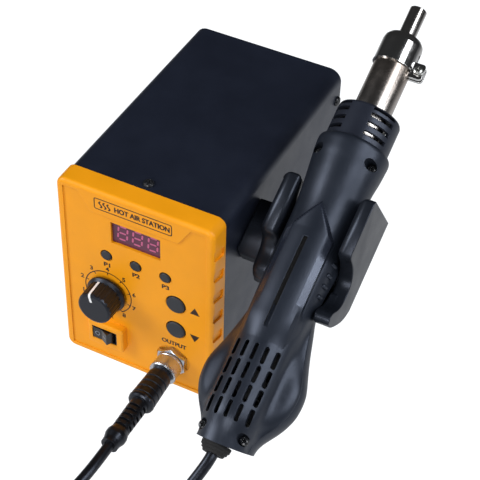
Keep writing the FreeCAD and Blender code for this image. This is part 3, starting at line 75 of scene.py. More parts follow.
def station(x, y, z):
    """Control unit frame (y from the rim plane, z from the bench) to metres."""
    return Vector((CENTRE_X + x / 1000.0, RIM_Y + y / 1000.0, z / 1000.0))


def hand_to_station(x, along, up):
    """Handpiece frame (across, along, up from the axis) to the control unit frame."""
    return (HAND_X + x,
            HAND_Y + along * COS_TILT - up * SIN_TILT,
            HAND_Z + along * SIN_TILT + up * COS_TILT)


def hand(x, along, up):
    """Handpiece frame to metres."""
    return station(*hand_to_station(x, along, up))


# ----------------------------------------------------------------------
# materials
# ----------------------------------------------------------------------
MATERIALS = {}
PAINTED_COOL_REFLECTION = (0.72, 0.80, 1.0, 1.0)      # specular tint: a painted faint blue cast in the reflections on the blacks


def linear(rgb):
    """8-bit sRGB to linear RGBA."""
    out = []
    for c in rgb:
        c = c / 255.0
        out.append(c / 12.92 if c <= 0.04045 else ((c + 0.055) / 1.055) ** 2.4)
    return tuple(out) + (1.0,)


def shade(color, factor, lift=0.0):
    return tuple(min(1.0, c * factor + lift) for c in color[:3]) + (1.0,)


class NodeMaterial:
    """A material with short calls for the nodes used here. Values may be numbers or sockets."""

    def __init__(self, name):
        self.material = bpy.data.materials.new(name)
        self.material.use_nodes = True
        self.tree = self.material.node_tree
        self.bsdf = self.tree.nodes["Principled BSDF"]
        self.position = self.node("TexCoord").outputs["Object"]

    def feed(self, node, inputs):
        for key, value in inputs.items():
            if isinstance(value, bpy.types.NodeSocket):
                self.tree.links.new(value, node.inputs[key])
            else:
                node.inputs[key].default_value = value

    def node(self, kind, inputs=None, **settings):
        made = self.tree.nodes.new("ShaderNode" + kind)
        for key, value in settings.items():
            setattr(made, key, value)
        self.feed(made, inputs or {})
        return made

    def noise(self, scale, detail=3.0, rough=0.5, vector=None):
        inputs = {"Scale": scale, "Detail": detail, "Roughness": rough,
                  "Vector": vector or self.position}
        return self.node("TexNoise", inputs).outputs["Fac"]

    def ramp(self, value, span, to, **settings):
        inputs = {"From Min": span[0], "From Max": span[1], "To Min": to[0], "To Max": to[1],
                  "Value": value}
        return self.node("MapRange", inputs, **settings).outputs[0]

    def mix(self, factor, a, b):
        return self.node("Mix", {0: factor, 6: a, 7: b}, data_type="RGBA").outputs[2]

    def math(self, operation, a, b):
        return self.node("Math", {0: a, 1: b}, operation=operation).outputs[0]

    def dot(self, a, b):
        made = self.node("VectorMath", {0: a, 1: b}, operation="DOT_PRODUCT")
        return made.outputs["Value"]

    def bevel(self, radius):
        """Normal rounded over the edges, radius in mm."""
        return self.node("Bevel", {"Radius": radius / 1000.0}, samples=4).outputs[0]

    def bump(self, height, distance, strength, normal):
        """Bump, distance in mm."""
        inputs = {"Strength": strength, "Distance": distance / 1000.0, "Height": height,
                  "Normal": normal}
        return self.node("Bump", inputs).outputs[0]


def surface(name, rgb, rough=0.5, metal=0.0, grain=1800.0, bump=0.03, drift=0.06,
            rough_drift=0.08, wear=0.0, worn=None, edge=0.35, coat=0.0, spec=0.5,
            stretch=None, blotch=60.0, fine=None, tint=None):
    """Plastic, paint, rubber or metal with rounded edges.

    grain, fine, blotch: noise scales of the grain, a finer grain on top and the broad drift;
    bump: height of the grain in mm; stretch: scale of the grain along x, y, z;
    drift, rough_drift: how far colour and roughness wander; edge: edge radius in mm;
    wear, worn: strength and colour of edge wear; tint: specular tint."""
    k = NodeMaterial(name)
    color = linear(rgb)
    broad = k.noise(blotch, detail=4.0, rough=0.55)
    vector = None
    if stretch:
        vector = k.node("Mapping", {"Scale": stretch, "Vector": k.position}).outputs[0]
    small = k.noise(grain, detail=3.0, rough=0.55, vector=vector)
    dark, light = shade(color, 1 - drift), shade(color, 1 + drift)
    tone = k.mix(k.ramp(broad, span=(0.3, 0.7), to=(0.0, 1.0)), dark, light)
    tone = k.mix(k.ramp(small, span=(0.35, 0.65), to=(0.0, 0.35)), tone, dark)
    rounded = k.bevel(edge)
    if wear > 0:
        # edges are where the rounded normal leaves the true one
        normal = k.node("NewGeometry").outputs["Normal"]
        at_edge = k.ramp(k.dot(rounded, normal), span=(0.995, 0.90), to=(0.0, 1.0))
        patches = k.noise(scale=320.0, detail=5.0, rough=0.65)
        patches = k.ramp(patches, span=(0.42, 0.68), to=(0.0, wear))
        worn_color = linear(worn) if worn else shade(color, 1.9, lift=0.02)
        tone = k.mix(k.math("MULTIPLY", at_edge, patches), tone, worn_color)
    roughness = k.math(
        "ADD",
        k.ramp(broad, span=(0.3, 0.7), to=(rough - rough_drift, rough + rough_drift)),
        k.ramp(small, span=(0.3, 0.7), to=(-rough_drift * 0.5, rough_drift * 0.5)))
    height = small
    if fine:
        height = k.math("ADD", small, k.math("MULTIPLY", k.noise(fine, detail=2.0), 0.5))
    k.feed(k.bsdf, {
        "Base Color": tone, "Roughness": roughness, "Metallic": metal,
        "Specular IOR Level": spec,
        "Normal": k.bump(height, distance=bump, strength=1.0, normal=rounded)})
    if tint:
        k.feed(k.bsdf, {"Specular Tint": tint})
    if coat:
        k.feed(k.bsdf, {"Coat Weight": coat, "Coat Roughness": 0.12})
    MATERIALS[name] = k.material


def turned(name, rgb, rough, heat_rgb, heat_from, heat_to):
    """Turned and polished metal: fine rings round the handpiece axis, smudges, and a heat
    tint that grows between two places along it."""
    k = NodeMaterial(name)
    color = linear(rgb)
    along = k.dot(k.position, (0.0, COS_TILT, SIN_TILT))          # metres
    ring_vector = k.node("CombineXYZ", {0: k.math("MULTIPLY", along, 9000.0)}).outputs[0]
    rings = k.noise(scale=1.0, detail=2.0, vector=ring_vector)
    smudge = k.noise(scale=120.0, detail=5.0, rough=0.6)
    tone = k.mix(k.ramp(smudge, span=(0.35, 0.7), to=(0.0, 1.0)), color, shade(color, 0.82))
    origin = hand(0, 0, 0)
    start = origin.y * COS_TILT + origin.z * SIN_TILT
    heated = (start + heat_from / 1000.0, start + heat_to / 1000.0)
    heat = k.math("ADD", k.ramp(along, span=heated, to=(0.0, 1.0)),
                  k.ramp(smudge, span=(0.3, 0.7), to=(-0.12, 0.12)))
    roughness = k.math("ADD",
                       k.ramp(smudge, span=(0.3, 0.75), to=(rough - 0.04, rough + 0.10)),
                       k.ramp(rings, span=(0.3, 0.7), to=(-0.03, 0.03)))
    k.feed(k.bsdf, {
        "Base Color": k.mix(heat, tone, linear(heat_rgb)), "Metallic": 1.0,
        "Roughness": roughness,
        "Normal": k.bump(rings, distance=0.004, strength=0.5, normal=k.bevel(0.25))})
    MATERIALS[name] = k.material


surface("orange_abs", (243, 157, 14), rough=0.42, grain=2600, bump=0.012, drift=0.035,
        rough_drift=0.05, edge=0.5, wear=0.15, worn=(255, 200, 90), spec=0.33)
surface("powder_black", (27, 31, 43), rough=0.38, grain=1500, bump=0.030, drift=0.10,
        rough_drift=0.04, edge=0.4, fine=5200, wear=0.25, worn=(70, 74, 84), tint=PAINTED_COOL_REFLECTION)
surface("zinc_steel", (186, 186, 182), rough=0.34, metal=1.0, grain=900, bump=0.006,
        drift=0.12, rough_drift=0.10, edge=0.15)
surface("black_rubber", (13, 13, 14), rough=0.80, grain=1600, drift=0.12, edge=0.3)
surface("screw_black", (30, 32, 36), rough=0.30, metal=0.4, grain=2200, bump=0.008,
        drift=0.15, edge=0.3, wear=0.7, worn=(150, 152, 156), spec=0.7)
surface("purple_filter", (94, 44, 68), rough=0.14, grain=400, bump=0.002, drift=0.10,
        rough_drift=0.03, edge=0.1, coat=0.15, blotch=90, spec=0.35)
surface("display_grey", (90, 55, 75), grain=1500, bump=0.01)
surface("pcb_green", (20, 78, 44), rough=0.35, grain=700, bump=0.01, drift=0.15, coat=0.3)
surface("button_grey", (38, 41, 47), grain=3000, bump=0.010, rough_drift=0.05, edge=0.4,
        wear=0.2)
surface("tact_black", (32, 32, 34), bump=0.01)
surface("knob_black", (16, 16, 19), rough=0.36, grain=2600, bump=0.014, drift=0.08,
        rough_drift=0.06, edge=0.3, wear=0.2, tint=PAINTED_COOL_REFLECTION)
surface("white_line", (238, 238, 238), rough=0.4, bump=0.004, drift=0.03)
surface("nickel", (200, 205, 213), rough=0.28, metal=1.0, grain=1300, bump=0.003,
        drift=0.08, rough_drift=0.06, edge=0.15)
surface("black_gloss", (16, 17, 20), rough=0.22, grain=1200, bump=0.004, drift=0.08,
        rough_drift=0.05, edge=0.3, coat=0.2)
surface("brass_pin", (214, 176, 92), rough=0.25, metal=1.0, grain=1200, bump=0.003,
        drift=0.08)
surface("pvc_black", (13, 13, 15), rough=0.34, grain=1500, bump=0.012, drift=0.10,
        rough_drift=0.05, edge=0.3, tint=PAINTED_COOL_REFLECTION)
surface("laminated_steel", (96, 96, 100), rough=0.45, metal=0.8, grain=500,
        stretch=(1, 8, 1))
surface("copper_tape", (206, 160, 60), rough=0.4, grain=600, bump=0.02)
surface("black_anodised", (34, 34, 38), rough=0.4, metal=0.7, grain=1200, bump=0.01)
surface("epoxy_black", (28, 28, 28), rough=0.6, grain=2000, bump=0.01)
surface("handle_charcoal", (27, 31, 39), rough=0.38, grain=2600, bump=0.018, drift=0.08,
        rough_drift=0.04, edge=0.5, wear=0.2, worn=(80, 84, 94), fine=5200, tint=PAINTED_COOL_REFLECTION)
# bevel faces of the grip panel: a smoother finish, and a base lighter than handle_charcoal as a
# painted highlight along the bevel
surface("charcoal_satin_painted_highlight", (34, 38, 48), rough=0.24, grain=3200, bump=0.008, drift=0.08,
        rough_drift=0.03, edge=0.2, spec=0.75, tint=PAINTED_COOL_REFLECTION)
surface("cage_black", (31, 34, 43), rough=0.38, grain=2300, bump=0.018, drift=0.08,
        rough_drift=0.05, edge=0.4, wear=0.15, tint=PAINTED_COOL_REFLECTION)
surface("cradle_black", (21, 24, 30), rough=0.35, grain=2400, bump=0.014, drift=0.07,
        rough_drift=0.04, edge=0.3, wear=0.12, fine=5000, tint=PAINTED_COOL_REFLECTION)
surface("mica", (180, 160, 120), grain=500, drift=0.15)
surface("ceramic", (226, 220, 205), rough=0.55, grain=1500, bump=0.02)
surface("nichrome", (140, 128, 118), rough=0.35, metal=1.0, bump=0.01)
surface("magnet", (196, 196, 192), rough=0.2, metal=1.0, grain=900, bump=0.003)
surface("glass_fuse", (190, 198, 198), rough=0.1, grain=500, bump=0.002, coat=0.5)
surface("print_brown", (42, 22, 9), grain=2600, bump=0.006, drift=0.15)
surface("digit_pink", (196, 98, 136), rough=0.25, grain=800, bump=0.002, spec=0.3)
surface("mark_white", (140, 146, 160), rough=0.4, bump=0.004, drift=0.05)
turned("stainless", (190, 185, 181), rough=0.22, heat_rgb=(168, 156, 147),
       heat_from=200, heat_to=236)
turned("chrome_nozzle", (214, 213, 212), rough=0.11, heat_rgb=(200, 194, 189),
       heat_from=236, heat_to=276)


def dress_cad_pieces():
    slot_of = {s["node"]: s["material_slot"] for s in frame["record"]["subparts"]}
    for name, piece in frame["nodes"].items():
        mesh = piece.data
        mesh.materials.clear()
        mesh.materials.append(MATERIALS.get(slot_of[name]) or MATERIALS["cage_black"])
        mesh.polygons.foreach_set("material_index", [0] * len(mesh.polygons))


dress_cad_pieces()


# ----------------------------------------------------------------------
# mesh helpers
# ----------------------------------------------------------------------
def clean(mesh, merge=None):
    """Turn all faces outwards, after joining vertices closer than merge (metres)."""
    bm = bmesh.new()
    bm.from_mesh(mesh)
    if merge:
        bmesh.ops.remove_doubles(bm, verts=bm.verts, dist=merge)
    bmesh.ops.recalc_face_normals(bm, faces=bm.faces)
    bm.to_mesh(mesh)
    bm.free()


def add_piece(name, mesh, material, body=None, smooth=True):
    mesh.validate()
    piece = bpy.data.objects.new(name, mesh)
    bpy.context.scene.collection.objects.link(piece)
    mesh.materials.append(MATERIALS[material])
    if smooth:
        mesh.polygons.foreach_set("use_smooth", [True] * len(mesh.polygons))
    if body:
        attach(piece, body)
    return piece


def from_faces(name, verts, faces, material, body=None, smooth=True):
    mesh = bpy.data.meshes.new(name)
    mesh.from_pydata([tuple(v) for v in verts], [], faces)
    mesh.update()
    clean(mesh)
    return add_piece(name, mesh, material, body, smooth)


def spline(control, steps):
    """Natural cubic spline through points, spaced by the square root of their distance."""
    points = np.array(control, float)
    gaps = np.sqrt(np.linalg.norm(np.diff(points, axis=0), axis=1))
    knots = np.concatenate([[0], np.cumsum(gaps)])
    count = len(points)
    h = np.diff(knots)
    system, rhs = np.zeros((count, count)), np.zeros_like(points)
    system[0, 0] = system[-1, -1] = 1
    for i in range(1, count - 1):
        system[i, i - 1:i + 2] = h[i - 1], 2 * (h[i - 1] + h[i]), h[i]
        rhs[i] = 6 * ((points[i + 1] - points[i]) / h[i]
                      - (points[i] - points[i - 1]) / h[i - 1])
    bend = np.linalg.solve(system, rhs)
    out = []
    for i in range(count - 1):
        for q in np.linspace(0, 1, steps, endpoint=(i == count - 2)):
            u = q * h[i]
            a, b = bend[i] / 6, bend[i + 1] / 6
            out.append(a * (h[i] - u) ** 3 / h[i] + b * u ** 3 / h[i]
                       + (points[i] / h[i] - a * h[i]) * (h[i] - u)
                       + (points[i + 1] / h[i] - b * h[i]) * u)
    return np.array(out)


# ----------------------------------------------------------------------
# prints: thin slabs on a face at depth y, with outlines in (x, z)
# ----------------------------------------------------------------------
PRINT_THICKNESS = 0.05
PRINT_SINK = 0.01           # how far a print reaches into its face
WEIGHT_LIFT = 0.004         # lift of the second, shifted copy that thickens a text


def prism(name, loops, y, material="print_brown", thickness=PRINT_THICKNESS):
    """Closed outlines as slabs in one mesh."""
    verts, faces = [], []
    for loop in loops:
        n, base = len(loop), len(verts)
        for depth in (y - thickness, y + PRINT_SINK):
            verts += [station(x, depth, z) for x, z in loop]
        faces.append([base + i for i in range(n)])
        faces.append([base + n + i for i in reversed(range(n))])
        for i in range(n):
            j = (i + 1) % n
            faces.append([base + i, base + n + i, base + n + j, base + j])
    return from_faces(name, verts, faces, material, "root", smooth=False)


def band(name, outer, inner, y, material="print_brown", body="root",
         thickness=PRINT_THICKNESS, closed=True):
    """A line between two rows of equally many points."""
    n = len(outer)
    verts, faces = [], []
    for depth in (y - thickness, y + PRINT_SINK):
        for row in (outer, inner):
            verts += [station(x, depth, z) for x, z in row]
    for i in range(n if closed else n - 1):
        j = (i + 1) % n
        faces.append([i, j, n + j, n + i])
        faces.append([2 * n + i, 3 * n + i, 3 * n + j, 2 * n + j])
        faces.append([i, 2 * n + i, 2 * n + j, j])
        faces.append([n + i, n + j, 3 * n + j, 3 * n + i])
    if not closed:
        faces.append([0, n, 3 * n, 2 * n])
        faces.append([n - 1, 3 * n - 1, 4 * n - 1, 2 * n - 1])
    return from_faces(name, verts, faces, material, body, smooth=False)


def text(name, string, x, z, height, y, bold=0.02, widen=1.0):
    """Text centred on (x, z); bold is the outline offset at font size 1."""
    curve = bpy.data.curves.new(name, "FONT")
    curve.body = string
    curve.align_x = "CENTER"
    curve.align_y = "CENTER"
    curve.size = 1.0
    curve.offset = bold
    curve.extrude = 0.5
    curve.resolution_u = 3
    source = bpy.data.objects.new(name + "_t", curve)
    bpy.context.scene.collection.objects.link(source)
    bpy.context.view_layer.update()
    depsgraph = bpy.context.evaluated_depsgraph_get()
    mesh = bpy.data.meshes.new_from_object(source.evaluated_get(depsgraph))
    bpy.data.objects.remove(source)
    points = np.array([v.co for v in mesh.vertices], float).reshape(-1, 3)
    low, high = points.min(axis=0), points.max(axis=0)
    scale = height / (high[1] - low[1])
    middle = (high + low) / 2
    y_middle = y - PRINT_THICKNESS / 2 + PRINT_SINK
    for vertex, p in zip(mesh.vertices, points):
        vertex.co = station(x + (p[0] - middle[0]) * scale * widen,
                            y_middle - p[2] * PRINT_THICKNESS,
                            z + (p[1] - middle[1]) * scale)
    clean(mesh, merge=1e-7)
    mesh.name = name
    return add_piece(name, mesh, "print_brown", "root", smooth=False)


def heavy_text(name, string, x, z, height, y, widen, shift, bold=0.02):
    """Text printed twice, the second time moved right by shift."""
    text(name, string, x, z, height, y, bold, widen)
    text(name + "_weight", string, x + shift, z, height, y - WEIGHT_LIFT, bold, widen)


def arc(x, z, radius, start, end, count):
    """Points on an arc, angles in degrees."""
    angles = [math.radians(start + (end - start) * i / (count - 1)) for i in range(count)]
    return [(x + radius * math.cos(a), z + radius * math.sin(a)) for a in angles]


def round_rect(x0, z0, x1, z1, r):
    return (arc(x1 - r, z1 - r, r, 0, 90, 6) + arc(x0 + r, z1 - r, r, 90, 180, 6)
            + arc(x0 + r, z0 + r, r, 180, 270, 6) + arc(x1 - r, z0 + r, r, 270, 360, 6))


def header_prints():
    left, right, low, high = -25.2, 24.2, PANEL_Z + 122.4, PANEL_Z + 130.6
    line = 0.6
    band("header_outline", round_rect(left, low, right, high, 1.4),
         round_rect(left + line, low + line, right - line, high - line, 0.9), HEADER_Y)
    heavy_text("header_text", "HOT AIR STATION", 5.2, PANEL_Z + 126.5, height=3.7,
               y=HEADER_Y, widen=0.84, shift=0.25, bold=0.022)
    # three rising heat waves
    first_x, pitch, foot, rise = -21.0, 2.6, PANEL_Z + 124.1, 4.6
    sway, half_line = 0.75, 0.55
    for k in range(3):
        middle = [(first_x + pitch * k + sway * math.sin(2 * math.pi * t), foot + rise * t)
                  for t in np.linspace(0, 1, 25)]
        band("heat_wave_%d" % (k + 1), [(x - half_line, z) for x, z in middle],
             [(x + half_line, z) for x, z in middle], HEADER_Y, closed=False)


def label_prints():
    preset_pitch = 19.15
    for k in range(3):
        heavy_text("preset_label_%d" % (k + 1), "P%d" % (k + 1), (k - 1) * preset_pitch,
                   PANEL_Z + 80.8, height=3.2, y=PANEL_Y, widen=1.15, shift=0.28)
    heavy_text("output_label", "OUTPUT", 24.4, PANEL_Z + 36.8, height=3.3, y=PANEL_Y,
               widen=0.92, shift=0.25)
    text("air_label", "AIR", DIAL_X, PANEL_Z + 38.6, height=2.4, y=PANEL_Y)


DIAL_X, DIAL_Z = -19.0, PANEL_Z + 59.0


def dial_prints():
    """Scale round the knob: an open ring with ticks inwards and the numbers 0 to 8."""
    first, last, marks = 236, -56, 9            # angles of 0 and 8 in degrees
    ring_out, ring_in = 15.65, 15.0
    tick_out, tick_in, half_tick = 15.2, 13.5, 0.30
    number_radius = 18.1
    band("dial_ring", arc(DIAL_X, DIAL_Z, ring_out, last, first, 110),
         arc(DIAL_X, DIAL_Z, ring_in, last, first, 110), PANEL_Y, closed=False)
    for i in range(marks):
        angle = math.radians(first - (first - last) / (marks - 1) * i)
        c, s = math.cos(angle), math.sin(angle)
        corners = [(DIAL_X + r * c - w * s, DIAL_Z + r * s + w * c)
                   for r, w in ((tick_out, half_tick), (tick_out, -half_tick),
                                (tick_in, -half_tick), (tick_in, half_tick))]
        prism("dial_tick_%d" % i, [corners], PANEL_Y)
        text("dial_number_%d" % i, str(i), DIAL_X + number_radius * c,
             DIAL_Z + number_radius * s, height=3.3, y=PANEL_Y, bold=0.03, widen=1.05)


def arrow_prints():
    x, half, height = 38.1, 3.1, 5.4
    up, down = PANEL_Z + 67.4, PANEL_Z + 50.3        # bases of the two triangles
    prism("up_mark", [[(x - half, up), (x + half, up), (x, up + height)]], PANEL_Y)
    prism("down_mark", [[(x - half, down), (x, down - height), (x + half, down)]], PANEL_Y)


# the seven segments, each from start to end, in half widths and half heights of a digit
SEGMENTS = (
    ((-1, 1), (1, 1)), ((1, 0), (1, 1)), ((1, -1), (1, 0)), ((-1, -1), (1, -1)),
    ((-1, -1), (-1, 0)), ((-1, 0), (-1, 1)), ((-1, 0), (1, 0)))


def digit_outlines(x, z):
    """Pointed bars of a seven-segment digit, leaning a little to the right."""
    half_size = np.array((5.8 / 2, 9.6 / 2))
    half_bar, gap, slant = 1.15 / 2, 0.62, 0.08
    outlines = []
    for start, end in SEGMENTS:
        a, b = (np.array((x, z)) + np.array(end_point) * half_size
                for end_point in (start, end))
        step = (b - a) / np.linalg.norm(b - a)
        side = np.array((-step[1], step[0]))
        a, b = a + step * gap, b - step * gap
        bar = [a, a + (step + side) * half_bar, b - (step - side) * half_bar,
               b, b - (step + side) * half_bar, a + (step - side) * half_bar]
        outlines.append([(px + (pz - z) * slant, pz) for px, pz in bar])
    return outlines


def display_digits():
    window_lo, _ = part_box("display_window")
    window_y = (window_lo.y - RIM_Y) * 1000.0
    for i, x in enumerate((-8.6, 0.9, 10.8)):
        prism("display_digit_%d" % (i + 1), digit_outlines(x, PANEL_Z + 108.4), window_y,
              "digit_pink", thickness=0.03)


def rocker_marks():
    """Ring on the pressed (left) side of the power rocker, bar on its raised side."""
    rocker_x, rocker_z = -19.85, 30.175
    pivot_y = 2.1
    turn = math.radians(14.5)
    thickness = 0.04

    ring_x, ring_y = rocker_x - 4.6, -4.90
    outer, inner = (arc(ring_x, rocker_z, radius, 0, 351, 40) for radius in (1.65, 1.25))
    band("rocker_ring_mark", outer, inner, ring_y, "mark_white", "power_rocker",
         thickness=thickness)

    # face under the bar, in the rocker's own (across, out): it climbs rise over run
    rise, run, slope_length, centre_out = 1.37, 5.35, 5.52, 7.23
    verts = []
    for lift in (-PRINT_SINK, thickness):
        for across in (1.2, 4.2):
            u = across - rise / slope_length * lift
            w = centre_out + across * rise / run + run / slope_length * lift
            x = rocker_x + u * math.cos(turn) - w * math.sin(turn)
            y = pivot_y - (u * math.sin(turn) + w * math.cos(turn))
            verts += [station(x, y, rocker_z + half) for half in (-0.22, 0.22)]
    faces = [[0, 1, 3, 2], [4, 6, 7, 5], [0, 4, 5, 1], [2, 3, 7, 6], [0, 2, 6, 4],
             [1, 5, 7, 3]]
    from_faces("rocker_bar_mark", verts, faces, "mark_white", "power_rocker", smooth=False)


header_prints()
label_prints()
dial_prints()
arrow_prints()
display_digits()
rocker_marks()


# ----------------------------------------------------------------------
# cable
# ----------------------------------------------------------------------
def tube(name, path, radius, material, sides=28):
    """Round tube along a path; path and radius in metres."""
    tangents = np.gradient(path, axis=0)
    tangents /= np.linalg.norm(tangents, axis=1)[:, None]
    side = np.cross(tangents[0], np.array([0, 0, 1.0]))
    side /= np.linalg.norm(side)
    verts, faces = [], []
    for point, tangent in zip(path, tangents):
        side = side - tangent * (side @ tangent)
        side /= np.linalg.norm(side)
        other = np.cross(tangent, side)
        for k in range(sides):
            angle = 2 * math.pi * k / sides
            verts.append(point + radius * (math.cos(angle) * side + math.sin(angle) * other))
    for i in range(len(path) - 1):
        for k in range(sides):
            j = (k + 1) % sides
            faces.append([i * sides + k, i * sides + j, (i + 1) * sides + j,
                          (i + 1) * sides + k])
    faces.append(list(range(sides))[::-1])
    faces.append([(len(path) - 1) * sides + k for k in range(sides)])
    return from_faces(name, verts, faces, material)


def handle_cable():
    """From the front panel down onto the bench in a loop and up into the handpiece."""
    start_x, start_y, start_z = 23.8, -73.0, 27.0
    end_x, end_along, end_up = -1.2, -4.7, -0.8          # in the handpiece frame
    control = [
        (start_x, start_y + 2.0, start_z), (start_x, start_y - 6, start_z),
        (22.8, -96, 26), (17.8, -116, 20.5), (10.8, -137, 11.5), (10.8, -156, 6.5),
        (24, -168, 5.0), (46, -164, 7.5), (64, -143, 18), (78, -115, 38.5),
        hand_to_station(end_x - 0.8, end_along - 6, end_up),
        hand_to_station(end_x, end_along + 2.0, end_up)]
    path = np.array([tuple(station(*p)) for p in spline(control, steps=14)])
    cable = tube("handle_cable_skin", path, 0.0032, "pvc_black")
    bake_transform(cable)
    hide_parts("handle_cable")


handle_cable()

# ----------------------------------------------------------------------
# skin of the handpiece's front shell
# ----------------------------------------------------------------------
# Each cross-section joins an ellipse and a squarer oval. Columns: place along the axis;
# ellipse half width, top and bottom; oval half width, half depth and centre height.
SKIN = np.array((
    (51.0, 17.0, 13.3, -21.0, 27.0, 13.4, -12.0),
    (58.0, 17.0, 13.4, -21.1, 24.6, 13.0, -11.8),
    (66.0, 17.1, 13.6, -21.3, 22.2, 12.3, -11.3),
    (75.0, 17.3, 13.8, -21.6, 19.9, 11.2, -10.5),
    (84.0, 17.6, 14.0, -21.9, 17.6, 10.0, -9.5),
    (98.0, 18.0, 14.0, -22.0, 15.0, 9.0, -8.5),
    (125.0, 18.0, 14.0, -22.0, 15.0, 9.0, -8.0),
    (140.0, 18.1, 14.8, -21.3, 15.0, 9.0, -6.0),
    (152.0, 18.7, 16.8, -20.4, 15.0, 9.0, -3.0),
    (163.0, 19.7, 18.8, -20.1, 15.0, 9.0, 0.0),
    (172.0, 20.8, 20.3, -20.8, 15.0, 9.0, 0.0),
    (178.0, 21.2, 20.9, -21.2, 15.0, 9.0, 0.0),
    (180.6, 20.9, 20.7, -20.9, 15.0, 9.0, 0.0),
    (181.6, 20.2, 20.0, -20.2, 15.0, 9.0, 0.0)))
SEAM_UP = -6.0              # height of the seam line that radii are taken from
OVAL_POWER = 2.4
JOIN = 1.6                  # difference in radius over which the two shapes blend


def skin_radii(angles, along):
    """Radii of the skin from the seam line, for an array of angles from straight up."""
    half_width, top, bottom, oval_width, oval_depth, oval_up = (
        float(np.interp(along, SKIN[:, 0], column)) for column in SKIN.T[1:])
    middle, half_height = (top + bottom) / 2, (top - bottom) / 2
    dx, dn = np.sin(angles), np.cos(angles)
    # ellipse: outer root of a r^2 + b r + c = 0
    a = (dx / half_width) ** 2 + (dn / half_height) ** 2
    b = 2 * dn * (SEAM_UP - middle) / half_height ** 2
    c = ((SEAM_UP - middle) / half_height) ** 2 - 1
    ellipse = (-b + np.sqrt(b * b - 4 * a * c)) / (2 * a)
    # oval: found by halving
    oval, far = np.zeros_like(angles), np.full_like(angles, 60.0)
    for _ in range(34):
        r = (oval + far) / 2
        f = ((np.abs(dx) * r / oval_width) ** OVAL_POWER
             + (np.abs(SEAM_UP + dn * r - oval_up) / oval_depth) ** OVAL_POWER)
        oval, far = np.where(f < 1, r, oval), np.where(f < 1, far, r)
    near = np.maximum(JOIN - np.abs(ellipse - oval), 0.0) / JOIN
    return np.maximum(ellipse, oval) + near * near * JOIN / 4


# ----------------------------------------------------------------------
# raised grip panel on the front shell
# ----------------------------------------------------------------------
PANEL_HALF = 13.85                          # half width of the panel
SHOULDER_ALONG, APEX_ALONG = 124.0, 142.0   # where its point begins and ends
WALL = 0.4                                  # width of the steep wall under the side bevel
WALL_TOP = 1.75                             # height of that wall
SKIN_REACH = 17.35                          # half width of skin the heights are read from
BURIED = 1.7                                # depth of the panel's underside in the shell


def smoothstep(t):
    t = max(0.0, min(1.0, t))
    return t * t * (3 - 2 * t)


def clamp(t):
    return max(0.0, min(1.0, t))


def tip_inset(x, along):
    """Distance inside the slanting edges of the panel's point."""
    length = APEX_ALONG - SHOULDER_ALONG
    return (-((x - PANEL_HALF) * length + (along - SHOULDER_ALONG) * PANEL_HALF)
            / math.hypot(PANEL_HALF, length))


def panel_top(x, along, skin, centre, foot):
    """Height of the panel's surface: a nearly flat raised field with a pointed top, a wide
    bevel all round it and a groove down its middle. Lower down the bevel flattens out and
    the field runs into the shell. skin, centre and foot are the heights of the skin here,
    at the middle and at the top of the side wall."""
    x = abs(x)
    inset = PANEL_HALF - x
    under = -0.3 - 0.9 * smoothstep((x - 13.0) / 2.5)        # the buried rim, from the skin
    field = centre + 1.28 + 0.47 * smoothstep((along - 74.0) / 22.0) - 0.0225 * x * x
    if inset < WALL:
        side = skin + under + (WALL_TOP - under) * max(inset, 0.0) / WALL
    else:
        side = foot + WALL_TOP + 1.1 * (inset - WALL)
    tip = skin - 0.25 + 1.4 * max(tip_inset(x, along), 0.0)
    height = min(field, side, tip) - skin

    # below 85 the bevel turns into a wide slope
    slope = 4.4 * (max(0.0, 16.2 - x) / 5.8) ** 1.1 - 0.35
    wide = max(under, min(field - skin, slope))
    flatten = smoothstep((85.0 - along) / 11.0)
    height = (1 - flatten) * height + flatten * max(height, wide)

    # the lower end sinks just under the skin
    raised = smoothstep((along - 57.4) / 16.8)
    sunk = 0.09 + 0.9 * smoothstep((x - 12.0) / 2.5)
    height = height * raised - sunk * (1 - raised)

    # groove with its bottom 0.68 under the skin
    groove = (clamp((1.30 - x) / 0.2) * clamp((along - 66.2) / 0.6)
              * clamp((120.0 - along) / 0.6))
    return skin + height - groove * max(0.0, height + 0.68)


def stations(*spans):
    """Grid places from (start, stop, step) spans."""
    return np.unique(np.round(np.concatenate([np.arange(*span) for span in spans]), 3))


def grip_face_material(x, along, row_along):
    """Slot of a top face: 0 shell, 1 black rubber in the groove as painted shade, 2 satin on
    the bevel with its lighter colour a painted highlight.
    """
    inset = tip_inset(x, along)
    if along > 83.5 and x < 13.42 and inset > 0.3 and (x > 10.25 or inset < 2.0):
        return 2
    return 1 if x < 1.24 and 66.5 < row_along < 119.8 else 0


